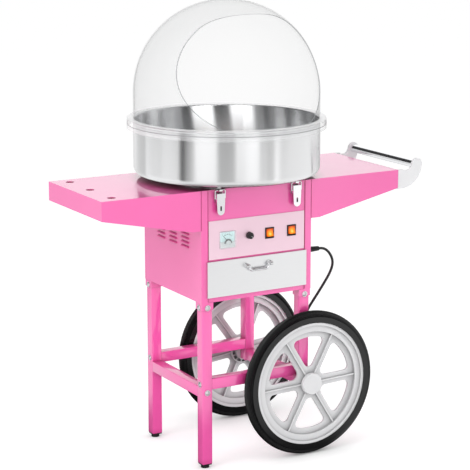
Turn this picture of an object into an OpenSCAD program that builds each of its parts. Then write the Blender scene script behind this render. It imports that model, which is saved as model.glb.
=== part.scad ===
// Cotton candy cart: a sheet-metal cabinet with a spinning sugar head, steel bowl and clear dome,
// two side trays, a drawer and a push handle, on a tube frame with two large wheels.
// Millimetres, +Z up, floor at z = 0, operator's side toward -Y, push handle toward +X.

/* [Cabinet] */
// Width of the cabinet
body_w = 350; // [340:1:400]
// Depth of the cabinet
body_d = 336; // [326:1:380]
// Height of the cabinet
body_h = 312; // [310:1:360]
// Height of the cabinet's underside above the floor
body_z = 474; // [460:1:560]
// Thickness of the painted sheet
sheet_t = 1.5; // [1:0.1:2]
// Width of the folded corner posts on the front face
post_w = 20.5; // [18:0.5:24]

/* [Bowl and dome] */
// Outside diameter of the bowl's wall
bowl_d = 523; // [480:1:560]
// Height of the bowl from its floor to its rim
bowl_h = 153; // [130:1:180]
// Thickness of the bowl's sheet
bowl_wall = 1.2; // [0.8:0.1:2]
// Outer radius between the bowl's floor and wall
bowl_corner_r = 20; // [10:1:30]
// Height of the ring that the bowl stands on
bowl_seat_h = 12; // [10:1:16]
// Thickness of the dome
dome_t = 2.5; // [2:0.1:4]
// Height of the dome's straight wall below its round top
dome_wall_h = 70; // [40:1:90]
// Depth of the skirt round the bowl's rim
skirt_h = 28; // [16:1:40]
// Distance of the mouth's upright edge in front of the dome's axis
mouth_front = 100; // [90:1:120]
// Radius of the mouth's lower part, seen from the side
mouth_r = 290; // [250:1:330]

/* [Trays and handle] */
// Length of each side tray
tray_l = 295; // [240:1:340]
// Depth of a tray's skirt at its outer end
tray_end_h = 53; // [45:1:70]
// Depth of a tray's skirt at the cabinet
tray_root_h = 110; // [90:1:125]
// Length of the level stretch of the skirt beside the cabinet
tray_level_l = 28; // [10:1:60]
// Diameter of the cone holes in the left tray
cone_hole_d = 24; // [16:1:32]
// Distance between the cone holes
cone_hole_pitch = 130; // [90:1:140]
// Distance of the cone holes from the tray's end
cone_hole_inset = 47; // [30:1:80]
// Reach of the push handle beyond the tray
handle_reach = 85; // [78:1:110]
// Diameter of the push bar
bar_d = 25; // [20:0.5:30]

/* [Frame and wheels] */
// Outside width of the square tube
tube_w = 30; // [25:1:32]
// Wall of the square tube
tube_wall = 2; // [1.5:0.1:3]
// Height of the front and back stretchers' centres
rail_z = 241; // [232:1:300]
// Height of the left stretcher's centre
left_rail_z = 218; // [150:1:222]
// Height of the plastic feet
foot_h = 12; // [8:1:20]
// Diameter of the wheels
wheel_d = 416; // [396:1:424]
// Width of the tyres
tyre_w = 36; // [30:1:40]
// Height of the tyre above its rim
tyre_h = 32; // [24:1:36]
// Width of each wheel's flat spokes
spoke_w = 30; // [22:1:36]
// Diameter of the axle
axle_d = 16; // [12:0.5:20]

/* [Front] */
// Gap between the control panel and the post on either side
panel_gap = 2.5; // [1:0.5:8]
// Height of the control panel
panel_h = 107; // [100:1:110]
// Width of each corner post that shows beside the drawer front
post_show = 17; // [10:0.5:18]
// Height of the drawer front
drawer_front_h = 100; // [90:1:106]
// Height of the rail below the drawer front
bottom_rail_h = 14; // [10:1:18]
// Height of the strip between drawer front and control panel
strip_h = 5; // [3:0.5:8]
// Length of the drawer's box
drawer_l = 290; // [220:1:300]
// Diameter of the knob
knob_d = 20; // [18:1:26]
// Distance of each latch from the cabinet's side
latch_in = 54; // [51:1:70]

/* [Drive] */
// Diameter of the motor
motor_d = 110; // [90:1:120]
// Length of the motor
motor_l = 100; // [80:1:105]
// Diameter of the drive shaft
shaft_d = 12; // [10:0.5:14]
// Diameter of the spinning head
head_d = 160; // [140:1:180]

/* [Cord] */
// Diameter of the cord
cord_d = 7.5; // [7:0.1:8]

/* [Hidden] */
$fn = 64;

// Clearances: past a cut's face, between fixed pieces, round a turning pin, between moving pieces
over = 1;
fit = 0.1;
run = 0.05;
gap = 0.3;

// Levels and faces that several pieces share
top_z = body_z + body_h;
bowl_z = top_z + bowl_seat_h;
rim_z = bowl_z + bowl_h;
front_y = -body_d / 2;
skin_y = front_y + sheet_t;
wall_h = body_h - sheet_t;
cart_x = -handle_reach / 2;
drawer_in = 20;
runner_in = 28;
panel_w = body_w - 2 * post_w - 2 * panel_gap;
drawer_front_w = body_w - 2 * post_show;
drawer_w = drawer_front_w - 2 * drawer_in;
runner_x = drawer_w / 2 - runner_in;
latch_x = body_w / 2 - latch_in;

module placed() translate([cart_x, 0, 0]) children();

module both_sides() for (s = [0, 1]) mirror([s, 0, 0]) children();

module both_ends() for (s = [0, 1]) mirror([0, s, 0]) children();

// A cube centred in X and Y, with its underside at z = 0
module block(w, d, h) translate([-w / 2, -d / 2, 0]) cube([w, d, h]);

// A flat shape drawn in X and Z, standing with its front face at y and thickness t toward +Y
module upright(y, t) translate([0, y + t, 0]) rotate([90, 0, 0]) linear_extrude(t) children();

// A rod along Y from y0 to y1
module rod_y(r, y0, y1) translate([0, y0, 0]) rotate([-90, 0, 0]) cylinder(r = r, h = y1 - y0);

// A rod along X from x0 to x1
module rod_x(r, x0, x1) translate([x0, 0, 0]) rotate([0, 90, 0]) cylinder(r = r, h = x1 - x0);

// Legs, stretchers and feet
socket_wall = 2.5;
socket_fit = 0.2;
socket_h = 20;
socket_inset = 0.3;
leg_end = 19;
socket_half = tube_w / 2 + socket_fit + socket_wall;
leg_x = body_w / 2 - socket_half - 4 * socket_inset;
leg_y = body_d / 2 - socket_half - socket_inset;
axle_z = wheel_d / 2;
bolt_d = 8;
bolt_hole_d = 8.6;
bolt_head_d = 14;
bolt_head_h = 4.5;
bolt_tip_share = 0.55;
socket_bolt_drop = 14;
socket_bolt_l = 11;
rail_bolt_l = 12;

module tube_section() {
    difference() {
        square(tube_w, center = true);
        square(tube_w - 2 * tube_wall, center = true);
    }
}

// Holes for the socket bolts on a leg's two outer faces
module socket_bolt_holes() {
    translate([leg_x, leg_y, body_z - socket_bolt_drop]) {
        rod_x(bolt_hole_d / 2, 0, tube_w);
        rod_y(bolt_hole_d / 2, 0, tube_w);
    }
}

// A leg in the +X +Y corner, drilled for the socket bolts and the front or back stretcher's bolt
module leg_blank(z0) {
    difference() {
        translate([leg_x, leg_y, z0]) linear_extrude(body_z - z0) tube_section();
        socket_bolt_holes();
        translate([leg_x, leg_y, rail_z]) rod_x(bolt_hole_d / 2, -tube_w, tube_w);
    }
}

module left_leg() {
    difference() {
        mirror([1, 0, 0]) leg_blank(foot_h);
        translate([-leg_x, leg_y, left_rail_z]) rod_y(bolt_hole_d / 2, -tube_w, tube_w);
    }
}

module right_leg() {
    difference() {
        leg_blank(axle_z - leg_end);
        translate([leg_x, leg_y, axle_z]) rod_y(axle_d / 2 + fit, -tube_w, tube_w);
    }
}

module leg_front_left() color("hotpink") mirror([0, 1, 0]) left_leg();

module leg_back_left() color("hotpink") left_leg();

module leg_front_right() color("hotpink") mirror([0, 1, 0]) right_leg();

module leg_back_right() color("hotpink") right_leg();

foot_pad_d = 23;
foot_lip_h = 3;
foot_lip_in = 1;
foot_lip_w = tube_w - 2 * foot_lip_in;
foot_plug_h = 18;
foot_plug_w = tube_w - 2 * tube_wall - 4 * fit;

module feet() {
    color("dimgray") both_ends() translate([-leg_x, leg_y, 0]) {
        cylinder(d = foot_pad_d, h = foot_h);
        translate([0, 0, foot_h - foot_lip_h]) block(foot_lip_w, foot_lip_w, foot_lip_h);
        translate([0, 0, foot_h]) block(foot_plug_w, foot_plug_w, foot_plug_h);
    }
}

module cross_rail() {
    half = leg_x - tube_w / 2;
    translate([-half, leg_y, rail_z]) rotate([0, 90, 0]) linear_extrude(2 * half) tube_section();
}

module side_rail(x, z) {
    half = leg_y - tube_w / 2;
    translate([x, half, z]) rotate([90, 0, 0]) linear_extrude(2 * half) tube_section();
}

module stretcher_front() color("deeppink") mirror([0, 1, 0]) cross_rail();

module stretcher_back() color("deeppink") cross_rail();

module stretcher_left() color("deeppink") side_rail(-leg_x, left_rail_z);

module stretcher_right() color("deeppink") side_rail(leg_x, axle_z);

// Wheels: a moulded disc with six ribbed spokes, turning on a plain bore
spokes = 6;
rib_angle = 1.7;
back_rib_angle = -6.2;
wheel_gap = 9;
rim_step_w = 26;
rim_lip_w = 8;
rim_face_w = 22;
rim_seat_w = 31;
web_t = 6;
web_ring_w = 16;
rib_w = 4;
rib_h = 18;
window_corner_r = 13;
window_tip_r = 16;
window_step = 0.05;
hub_d = 52;
hub_face = 17;
washer_t = 1.6;
washer_d = 32;
gusset_ring_d = 76;
gusset_ring_t = 3;
gusset_h = 12;
gussets = 12;
cap_d = 62;
cap_t = 6;
cap_bevel = 2;
cap_skirt = 6;
axle_short = 1.5;

leg_face_y = leg_y + tube_w / 2;
wheel_y = leg_face_y + wheel_gap + tyre_w / 2;
hub_back = wheel_y - leg_face_y - washer_t - 2 * gap;
rim_r = wheel_d / 2 - tyre_h;
rim_in_r = rim_r - rim_step_w;
window_r = rim_in_r - web_ring_w;

// Brings a shape whose +Z points outward along its axle to the front or back wheel's place
module at_wheel(turn) rotate([0, 0, turn]) translate([turn == 0 ? leg_x : -leg_x, -wheel_y, axle_z])
    rotate([90, 0, 0]) rotate([0, 0, turn == 0 ? rib_angle : back_rib_angle]) children();

// One window between two spokes: a round-cornered triangle whose outer side follows the rim,
// each corner circle a hair inside the straight sides that run up to it
module wheel_window() {
    half = 180 / spokes;
    corner_at = window_r - window_corner_r;
    side = half - asin((spoke_w / 2 + window_corner_r) / corner_at);
    tip_at = (spoke_w / 2 + window_tip_r) / sin(half);
    tip_side = window_tip_r * [-sin(half), cos(half)];
    corner = corner_at * [cos(side), sin(side)];
    edge = corner + window_corner_r * [-sin(half), cos(half)];
    out = window_r * [cos(side), sin(side)];
    translate([tip_at, 0]) circle(window_tip_r - window_step);
    for (s = [1, -1]) translate([corner[0], s * corner[1]]) circle(window_corner_r - window_step);
    polygon([
        [tip_at + tip_side[0], tip_side[1]], edge, corner, [corner[0], -corner[1]],
        [edge[0], -edge[1]], [tip_at + tip_side[0], -tip_side[1]]
    ]);
    intersection() {
        circle(window_r, $fn = 128);
        polygon([corner, 2 * out, 2 * [out[0], -out[1]], [corner[0], -corner[1]]]);
    }
}

// A ring on the wheel's inner face, tied to the hub by short gussets
module gusset_ring() {
    difference() {
        circle(d = gusset_ring_d);
        circle(d = gusset_ring_d - 2 * gusset_ring_t);
    }
    for (k = [0:gussets - 1]) rotate((k + 1 / 2) * 360 / gussets) translate([hub_d / 4, -gusset_ring_t / 2])
        square([gusset_ring_d / 2 - hub_d / 4 - gusset_ring_t / 2, gusset_ring_t]);
}

module wheel() {
    difference() {
        union() {
            rotate_extrude($fn = 128) {
                translate([rim_in_r, -rim_face_w / 2]) square([rim_step_w, rim_face_w]);
                translate([rim_r - rim_lip_w, -rim_seat_w / 2]) square([rim_lip_w, rim_seat_w]);
            }
            translate([0, 0, -web_t / 2]) linear_extrude(web_t) difference() {
                circle(rim_in_r + fit, $fn = 128);
                for (k = [0:spokes - 1]) rotate((k + 1 / 2) * 360 / spokes) wheel_window();
            }
            for (k = [0:spokes - 1]) rotate(k * 360 / spokes)
                translate([hub_d / 4, -rib_w / 2, -rib_h / 2]) cube([rim_in_r - hub_d / 4 + fit, rib_w, rib_h]);
            translate([0, 0, -hub_back]) cylinder(d = hub_d, h = hub_back + hub_face);
            translate([0, 0, -gusset_h - web_t / 2]) linear_extrude(gusset_h + web_t / 2) gusset_ring();
        }
        translate([0, 0, -hub_back - over]) cylinder(d = axle_d + 2 * run, h = hub_back + hub_face + 2 * over);
    }
}

module wheel_front() color("lightgray") at_wheel(0) wheel();

module wheel_back() color("lightgray") at_wheel(180) wheel();

groove_w = 2.4;
groove_d = 1.6;
groove_shares = [-0.3, -0.1, 0.1, 0.3];

// The tyre's section: straight sidewalls, a round crown and four grooves round the tread
module tyre() {
    crown_at = wheel_d / 2 - tyre_w / 2;
    rotate_extrude($fn = 128) difference() {
        union() {
            translate([rim_r + fit, -tyre_w / 2]) square([crown_at - rim_r - fit, tyre_w]);
            translate([crown_at, 0]) circle(d = tyre_w);
        }
        translate([0, -tyre_w]) square([rim_r + fit, 2 * tyre_w]);
        for (share = groove_shares) {
            reach = crown_at + sqrt(pow(tyre_w / 2, 2) - pow(share * tyre_w, 2)) - groove_d;
            translate([reach, share * tyre_w - groove_w / 2]) square([tyre_w, groove_w]);
        }
    }
}

module tyre_front() color("black") at_wheel(0) tyre();

module tyre_back() color("black") at_wheel(180) tyre();

// A bevelled cap whose skirt grips the hub and hides the axle's end
module hub_cap() {
    r = cap_d / 2;
    hub_r = hub_d / 2 + fit;
    rotate_extrude() polygon([
        [0, hub_face + fit], [hub_r, hub_face + fit], [hub_r, hub_face - cap_skirt],
        [r, hub_face - cap_skirt], [r, hub_face + cap_t - cap_bevel],
        [r - cap_bevel, hub_face + cap_t], [0, hub_face + cap_t]
    ]);
}

module hub_cap_front() color("gainsboro") at_wheel(0) hub_cap();

module hub_cap_back() color("gainsboro") at_wheel(180) hub_cap();

module axle() {
    end = wheel_y + hub_face - axle_short;
    color("silver") translate([leg_x, 0, axle_z]) rod_y(axle_d / 2, -end, end);
}

// A button-head bolt whose shank runs along -Z from the face at z = 0
module bolt(shank) {
    cylinder(d1 = bolt_head_d, d2 = bolt_head_d * bolt_tip_share, h = bolt_head_h);
    translate([0, 0, -shank]) cylinder(d = bolt_d, h = shank);
}

module frame_bolts() {
    color("gainsboro") {
        both_sides() both_ends() {
            translate([leg_x + socket_half, leg_y, body_z - socket_bolt_drop]) rotate([0, 90, 0]) bolt(socket_bolt_l);
            translate([leg_x, leg_y + socket_half, body_z - socket_bolt_drop]) rotate([-90, 0, 0]) bolt(socket_bolt_l);
            translate([leg_x + tube_w / 2, leg_y, rail_z]) rotate([0, 90, 0]) bolt(tube_w + rail_bolt_l);
        }
        both_ends() {
            translate([-leg_x, leg_face_y, left_rail_z]) rotate([-90, 0, 0]) bolt(tube_w + rail_bolt_l);
            translate([leg_x, leg_face_y + gap, axle_z]) rotate([-90, 0, 0]) linear_extrude(washer_t) difference() {
                circle(d = washer_d);
                circle(d = axle_d + 2 * fit);
            }
        }
    }
}

// Cabinet panels
runner_w = 18;
drawer_lift = 4;
louvre_cols = 3;
louvre_rows = 5;
louvre_w = 38;
louvre_r = 5;
louvre_col_pitch = 70;
louvre_row_pitch = 12;
louvre_y = -8;
louvre_z = 142;
bay_h = 88;
bay_edge = 9;
shaft_hole_d = 70;
cord_hole_y = 140;
cord_hole_z = 105;
gland_neck_d = 15;

strip_z = body_z + bottom_rail_h + drawer_front_h;
panel_z = strip_z + strip_h;
drawer_z = body_z + bottom_rail_h + drawer_lift;

module floor_pan() {
    w = body_w - 2 * sheet_t - 2 * fit;
    d = body_d - 2 * sheet_t - 2 * fit;
    color("hotpink") {
        translate([0, 0, body_z]) block(w, d, sheet_t);
        both_sides() translate([runner_x, 0, body_z])
            block(runner_w, d - 2 * post_w, drawer_z - gap - body_z);
        both_sides() both_ends() difference() {
            translate([leg_x, leg_y, body_z - socket_h]) linear_extrude(socket_h) difference() {
                square(2 * socket_half, center = true);
                square(tube_w + 2 * socket_fit, center = true);
            }
            socket_bolt_holes();
        }
    }
}

// One pressed louvre on the +X wall: a quarter-round hood, open below
module louvre_space(r, w) rotate([90, 0, 0]) translate([0, 0, -w / 2]) linear_extrude(w) intersection() {
    circle(r);
    square(r);
}

module each_louvre() {
    for (c = [0:louvre_cols - 1], k = [0:louvre_rows - 1])
        translate([
            body_w / 2, louvre_y + (c - (louvre_cols - 1) / 2) * louvre_col_pitch,
            body_z + louvre_z + k * louvre_row_pitch
        ]) children();
}

// The +X wall with its folded front and back posts and its louvres
module side_panel() {
    hood_r = louvre_r - sheet_t;
    hood_w = louvre_w - 2 * sheet_t;
    difference() {
        union() {
            translate([body_w / 2 - sheet_t, front_y, body_z]) cube([sheet_t, body_d, wall_h]);
            both_ends() translate([body_w / 2 - post_w, front_y, body_z]) cube([post_w, sheet_t, wall_h]);
            each_louvre() louvre_space(louvre_r, louvre_w);
        }
        each_louvre() {
            louvre_space(hood_r, hood_w);
            translate([-sheet_t - over, -hood_w / 2, 0]) cube([sheet_t + 2 * over, hood_w, hood_r / 2]);
        }
    }
}

module side_panel_left() color("hotpink") mirror([1, 0, 0]) side_panel();

module side_panel_right() {
    color("hotpink") difference() {
        side_panel();
        translate([body_w / 2, -cord_hole_y, body_z + cord_hole_z])
            rod_x(gland_neck_d / 2 + fit, -sheet_t - over, over);
    }
}

module inner_panel(y) {
    translate([-body_w / 2 + sheet_t + fit, y, body_z + sheet_t + fit])
        cube([body_w - 2 * sheet_t - 2 * fit, sheet_t, wall_h - sheet_t - 2 * fit]);
}

module back_panel() color("hotpink") inner_panel(-skin_y - sheet_t);

// The upper front with its openings for the instruments and the drawer
module front_panel() {
    bay_w = body_w - 2 * post_w - 2 * bay_edge;
    drawer_top = strip_z - drawer_lift / 2;
    color("hotpink") difference() {
        inner_panel(skin_y);
        translate([0, skin_y, panel_z + (panel_h - bay_h) / 2]) block(bay_w, 4 * sheet_t, bay_h);
        translate([0, skin_y, drawer_z - 2 * gap]) block(bay_w, 4 * sheet_t, drawer_top - drawer_z);
    }
}

module top_plate() {
    color("hotpink") difference() {
        translate([0, 0, top_z - sheet_t]) block(body_w, body_d, sheet_t);
        translate([0, 0, top_z - sheet_t - over]) cylinder(d = shaft_hole_d, h = sheet_t + 2 * over);
    }
}

// Side trays: folded sheet with a tapering skirt, hung on the cabinet by an inner flange
module tray() {
    x0 = body_w / 2;
    x1 = x0 + tray_l;
    both_ends() upright(front_y, sheet_t) polygon([
        [x0, top_z], [x0, top_z - tray_root_h], [x0 + tray_level_l, top_z - tray_root_h],
        [x1, top_z - tray_end_h], [x1, top_z]
    ]);
    translate([x0, front_y, top_z - sheet_t]) cube([tray_l, body_d, sheet_t]);
    translate([x0, front_y, top_z - tray_root_h]) cube([sheet_t, body_d, tray_root_h]);
    translate([x1 - sheet_t, front_y, top_z - tray_end_h]) cube([sheet_t, body_d, tray_end_h]);
}

module tray_left() {
    color("pink") difference() {
        mirror([1, 0, 0]) tray();
        for (k = [-1:1])
            translate([-body_w / 2 - tray_l + cone_hole_inset, k * cone_hole_pitch, top_z - sheet_t - over])
                cylinder(d = cone_hole_d, h = sheet_t + 2 * over);
    }
}

module tray_right() color("pink") tray();

// Push handle: two curved brackets and a tube between them
bracket_t = 6;
bracket_inset = 2;
bracket_r = 70;
bracket_rise = 14;
bracket_lap = 3;
boss_r = 18;
bar_rise = 10;
notch_r = 19;
foot_t = 4;
foot_w = 24;
spigot_l = 12;
bar_wall = 1.5;

handle_x = body_w / 2 + tray_l;
bar_x = handle_x + handle_reach - boss_r;
bar_z = top_z + bar_rise;
bracket_y = body_d / 2 - bracket_inset;
notch_x = handle_reach - 2 * boss_r - notch_r;

module bracket_outline() {
    arc_x = handle_reach - bracket_r;
    difference() {
        union() {
            intersection() {
                translate([arc_x, bracket_rise]) circle(bracket_r, $fn = 128);
                translate([0, bracket_rise - bracket_r]) square([handle_reach, bracket_r]);
            }
            translate([handle_reach - boss_r, bar_rise]) circle(boss_r);
            translate([0, bracket_rise - bracket_r]) square([arc_x, bracket_r - bracket_rise]);
        }
        translate([notch_x, bracket_rise]) circle(notch_r);
        translate([-handle_reach, 0]) square([handle_reach + notch_x, bracket_r]);
        translate([-bracket_r, -2 * bracket_r]) square([bracket_r, 4 * bracket_r]);
    }
}

module handle_brackets() {
    color("gainsboro") both_ends() {
        translate([handle_x, -bracket_y, top_z]) upright(0, bracket_t) bracket_outline();
        translate([handle_x, -bracket_y, top_z - tray_end_h + bracket_lap])
            cube([foot_t, foot_w, tray_end_h - 2 * bracket_lap]);
        translate([bar_x, 0, bar_z])
            rod_y(bar_d / 2 - bar_wall - fit, -bracket_y + bracket_t / 2, -bracket_y + bracket_t + spigot_l);
    }
}

module push_bar() {
    end = bracket_y - bracket_t - fit;
    color("whitesmoke") translate([bar_x, end, bar_z]) rotate([90, 0, 0]) linear_extrude(2 * end) difference() {
        circle(d = bar_d);
        circle(d = bar_d - 2 * bar_wall);
    }
}

// Control panel with a meter, a power knob and two rocker switches
meter_at = -0.3141;
meter_z = 52;
meter_w = 48;
meter_h = 47;
meter_hole_d = 41;
meter_body_d = 40;
meter_body_l = 26;
meter_flange_t = 2;
lens_t = 1.5;
lens_h = 10;
dial_t = 0.6;
dial_lift = 0.2;
coil_cover_h = 16.5;
coil_cover_t = 3.4;
coil_bump_r = 8;
needle_drop = 5;
needle_l = 19;
needle_w = 1.2;
needle_t = 0.7;
needle_hub_r = 2.4;
needle_pin_r = 0.8;
needle_lift = 4.2;
needle_rest = 40;
knob_at = -0.0944;
knob_z = 57.5;
control_z = 56;
knob_l = 13;
knob_grips = 12;
grip_r = 1.6;
knob_taper = 1.2;
knob_shaft_r = 3;
bush_r = 5;
bush_l = 3;
regulator_w = 46;
regulator_h = 42;
regulator_l = 26;
switch_at = [0.1283, 0.3618];
switch_w = 28;
switch_h = 31;
switch_lip = 2.4;
switch_body_w = 24.4;
switch_body_h = 29;
switch_body_l = 22;
switch_wall = 1.5;
rocker_pivot_in = 5;
rocker_out = 10.5;
rocker_dip = 2.4;
rocker_back = 4;
rocker_half_h = 10.8;
rocker_half_back = 8;
rocker_tilt = 9;
rocker_pin_r = 1.4;

switch_cut_w = switch_body_w - 2 * switch_wall;
switch_cut_h = switch_body_h - 2 * switch_wall;
rocker_half_w = switch_cut_w / 2 - gap;

module at_meter() translate([panel_w * meter_at, front_y, panel_z + meter_z]) children();

module at_knob() translate([panel_w * knob_at, front_y, panel_z + knob_z]) children();

module at_switch(k) translate([panel_w * switch_at[k], front_y, panel_z + control_z]) children();

module control_panel() {
    color("mistyrose") difference() {
        translate([-panel_w / 2, front_y, panel_z]) cube([panel_w, sheet_t, panel_h]);
        at_meter() rod_y(meter_hole_d / 2, -over, sheet_t + over);
        at_knob() rod_y(bush_r + fit, -over, sheet_t + over);
        for (k = [0, 1]) at_switch(k) translate([0, -over, -switch_body_h / 2 - fit])
            translate([-switch_body_w / 2 - fit, 0, 0])
                cube([switch_body_w + 2 * fit, sheet_t + 2 * over, switch_body_h + 2 * fit]);
    }
}

// The meter's body behind the panel, its front flange, the coil cover and the needle's pivot pin
module meter_housing() {
    flange_w = meter_w - 2 * lens_t - 2 * fit;
    flange_h = meter_h - 2 * lens_t - 2 * fit;
    color("gray") at_meter() {
        rod_y(meter_body_d / 2, 0, meter_body_l);
        translate([-flange_w / 2, -meter_flange_t, -flange_h / 2]) cube([flange_w, meter_flange_t, flange_h]);
        translate([-flange_w / 2, -meter_flange_t - coil_cover_t, -flange_h / 2])
            cube([flange_w, coil_cover_t, coil_cover_h - needle_hub_r]);
        translate([0, 0, -needle_drop]) rod_y(needle_pin_r, -meter_flange_t - needle_lift, 0);
    }
}

module meter_dial() {
    w = meter_w - 2 * lens_t - 6 * fit;
    low = -meter_h / 2 + lens_t + coil_cover_h + fit;
    color("azure") at_meter() difference() {
        translate([-w / 2, -meter_flange_t - dial_t - dial_lift, low])
            cube([w, dial_t, meter_h / 2 - lens_t - 3 * fit - low]);
        translate([0, 0, -needle_drop]) rod_y(needle_pin_r + fit, -meter_flange_t - needle_lift, 0);
    }
}

// The pointer, resting at the scale's left end
module meter_needle() {
    y = -meter_flange_t - needle_lift;
    color("black") at_meter() translate([0, 0, -needle_drop]) rotate([0, -needle_rest, 0]) difference() {
        union() {
            rod_y(needle_hub_r, y, y + needle_t);
            translate([-needle_w / 2, y, 0]) cube([needle_w, needle_t, needle_l]);
        }
        rod_y(needle_pin_r + run, y - over, y + needle_t + over);
    }
}

// The clear cap over the meter's face, with the bump over the coil
module meter_lens() {
    color("lightcyan", 0.4) at_meter() difference() {
        union() {
            translate([-meter_w / 2, -lens_h, -meter_h / 2]) cube([meter_w, lens_h, meter_h]);
            translate([0, 0, -needle_drop]) rod_y(coil_bump_r, -lens_h - lens_t, -lens_h);
        }
        translate([-meter_w / 2 + lens_t, -lens_h + lens_t, -meter_h / 2 + lens_t])
            cube([meter_w - 2 * lens_t, lens_h, meter_h - 2 * lens_t]);
    }
}

// The knob and its shaft, which turns in the regulator's bush
module power_knob() {
    y0 = -bush_l - gap;
    color("black") at_knob() {
        difference() {
            translate([0, y0, 0]) rotate([90, 0, 0])
                cylinder(d1 = knob_d, d2 = knob_d - 2 * knob_taper, h = knob_l);
            for (k = [0:knob_grips - 1]) rotate([0, k * 360 / knob_grips, 0])
                translate([knob_d / 2, 0, 0]) rod_y(grip_r, y0 - knob_l - over, y0 + over);
        }
        rod_y(knob_shaft_r, y0, regulator_l / 2);
    }
}

module power_regulator() {
    color("dimgray") at_knob() difference() {
        union() {
            rod_y(bush_r, -bush_l, sheet_t);
            translate([-regulator_w / 2, sheet_t, -regulator_h / 2]) cube([regulator_w, regulator_l, regulator_h]);
        }
        rod_y(knob_shaft_r + run, -bush_l - over, regulator_l / 2 + gap);
    }
}

module switch_housing() {
    difference() {
        union() {
            translate([-switch_w / 2, -switch_lip, -switch_h / 2]) cube([switch_w, switch_lip, switch_h]);
            translate([-switch_body_w / 2, 0, -switch_body_h / 2]) cube([switch_body_w, switch_body_l, switch_body_h]);
        }
        translate([-switch_cut_w / 2, -switch_lip - over, -switch_cut_h / 2])
            cube([switch_cut_w, switch_body_l - switch_wall + over, switch_cut_h]);
        translate([0, rocker_pivot_in, 0]) rod_x(rocker_pin_r + run, -switch_w, switch_w);
    }
}

module switch_housings() color("black") for (k = [0, 1]) at_switch(k) switch_housing();

// A rocker pressed in at its upper end, with a pivot pin through its middle
module rocker() {
    translate([0, rocker_pivot_in, 0]) rotate([-rocker_tilt, 0, 0]) {
        translate([-rocker_half_w, 0, 0]) rotate([90, 0, 90]) linear_extrude(2 * rocker_half_w) polygon([
            [-rocker_out, rocker_half_h], [-rocker_out + rocker_dip, 0], [-rocker_out, -rocker_half_h],
            [rocker_back, -rocker_half_back], [rocker_back, rocker_half_back]
        ]);
        rod_x(rocker_pin_r, -switch_body_w / 2, switch_body_w / 2);
    }
}

module heat_rocker() color("orange") at_switch(0) rocker();

module motor_rocker() color("orange") at_switch(1) rocker();

// Toggle latches: a base with two ears and a pin, a lever on the pin, and a wire bail on the lever
latch_drop = 14;
latch_out = 9.5;
bail_arm = 9;
bail_l = 23;
wire_r = 1.5;
bail_w = 31;
bail_corner_r = 5;
bail_stub_r = 1.4;
ear_t = 1.5;
ear_x = 8.5;
ear_half = 2.4;
ear_r = 3.2;
latch_pin_r = 2;
base_w = 26;
base_h = 26;
base_drop = 20;
lever_w = 25;
lever_tip_w = 22;
lever_l = 55;
lever_head = 4;
lever_out = 5;
lever_side_h = 18;
lever_slot_w = 5;
lever_slot_l = 13;
lever_slot_up = 12;
hook_w = 10;
hook_back = 4.2;
hook_in = 6;
hook_lip_in = 3.2;
hook_lip_h = 3;
hook_flange_l = 28;
hook_t = 1.5;

latch_y = skin_y - latch_out;
latch_z = top_z - latch_drop;
bail_top_z = latch_z - bail_arm + bail_l;

module latch_base() {
    translate([-base_w / 2, skin_y - sheet_t, latch_z - base_drop]) cube([base_w, sheet_t, base_h]);
    both_sides() translate([ear_x, latch_y, latch_z - ear_half]) cube([ear_t, latch_out - sheet_t / 2, 2 * ear_half]);
    both_sides() translate([0, latch_y, latch_z]) rod_x(ear_r, ear_x, ear_x + ear_t);
    translate([0, latch_y, latch_z]) rod_x(latch_pin_r, -lever_w / 2, lever_w / 2);
}

module at_latches() both_sides() translate([latch_x, 0, 0]) children();

module latch_bases() color("silver") at_latches() latch_base();

// A pressed lever: a tapering web with a round tip, and two side flanges that ride the base's pin
module latch_lever() {
    side_t = ear_t;
    y = latch_y - lever_out;
    tip_z = latch_z - lever_l + lever_tip_w / 2;
    difference() {
        union() {
            upright(y, side_t) {
                polygon([
                    [-lever_w / 2, latch_z + lever_head], [lever_w / 2, latch_z + lever_head],
                    [lever_w / 2, latch_z - lever_side_h], [lever_tip_w / 2, tip_z],
                    [-lever_tip_w / 2, tip_z], [-lever_w / 2, latch_z - lever_side_h]
                ]);
                translate([0, tip_z]) circle(d = lever_tip_w);
            }
            both_sides() translate([lever_w / 2 - side_t, y, latch_z - lever_side_h])
                cube([side_t, 2 * lever_out - side_t, lever_side_h + lever_head]);
        }
        translate([0, latch_y, latch_z]) rod_x(latch_pin_r + run, -lever_w, lever_w);
        translate([0, latch_y, latch_z - bail_arm]) rod_x(bail_stub_r + run, -lever_w, lever_w);
        translate([-lever_slot_w / 2, y - over, latch_z - lever_l + lever_slot_up])
            cube([lever_slot_w, side_t + 2 * over, lever_slot_l]);
    }
}

// A wire bail: stubs in the lever's flanges, two upright sides and a top with bent corners
module latch_bail() {
    side = bail_w / 2;
    foot_z = latch_z - bail_arm;
    top = side - bail_corner_r;
    bend_z = bail_top_z - bail_corner_r;
    translate([0, latch_y, bail_top_z]) rod_x(wire_r, -top, top);
    both_sides() {
        translate([0, latch_y, foot_z]) rod_x(bail_stub_r, lever_w / 2 - ear_t, side);
        translate([side, latch_y, foot_z]) sphere(wire_r);
        translate([side, latch_y, foot_z]) cylinder(r = wire_r, h = bend_z - foot_z);
        translate([top, latch_y, bend_z]) rotate([90, 0, 0])
            rotate_extrude(angle = 90) translate([bail_corner_r, 0]) circle(wire_r);
    }
}

module latch_lever_left() color("silver") translate([-latch_x, 0, 0]) latch_lever();

module latch_lever_right() color("silver") translate([latch_x, 0, 0]) latch_lever();

module latch_bail_left() color("whitesmoke") translate([-latch_x, 0, 0]) latch_bail();

module latch_bail_right() color("whitesmoke") translate([latch_x, 0, 0]) latch_bail();

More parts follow.
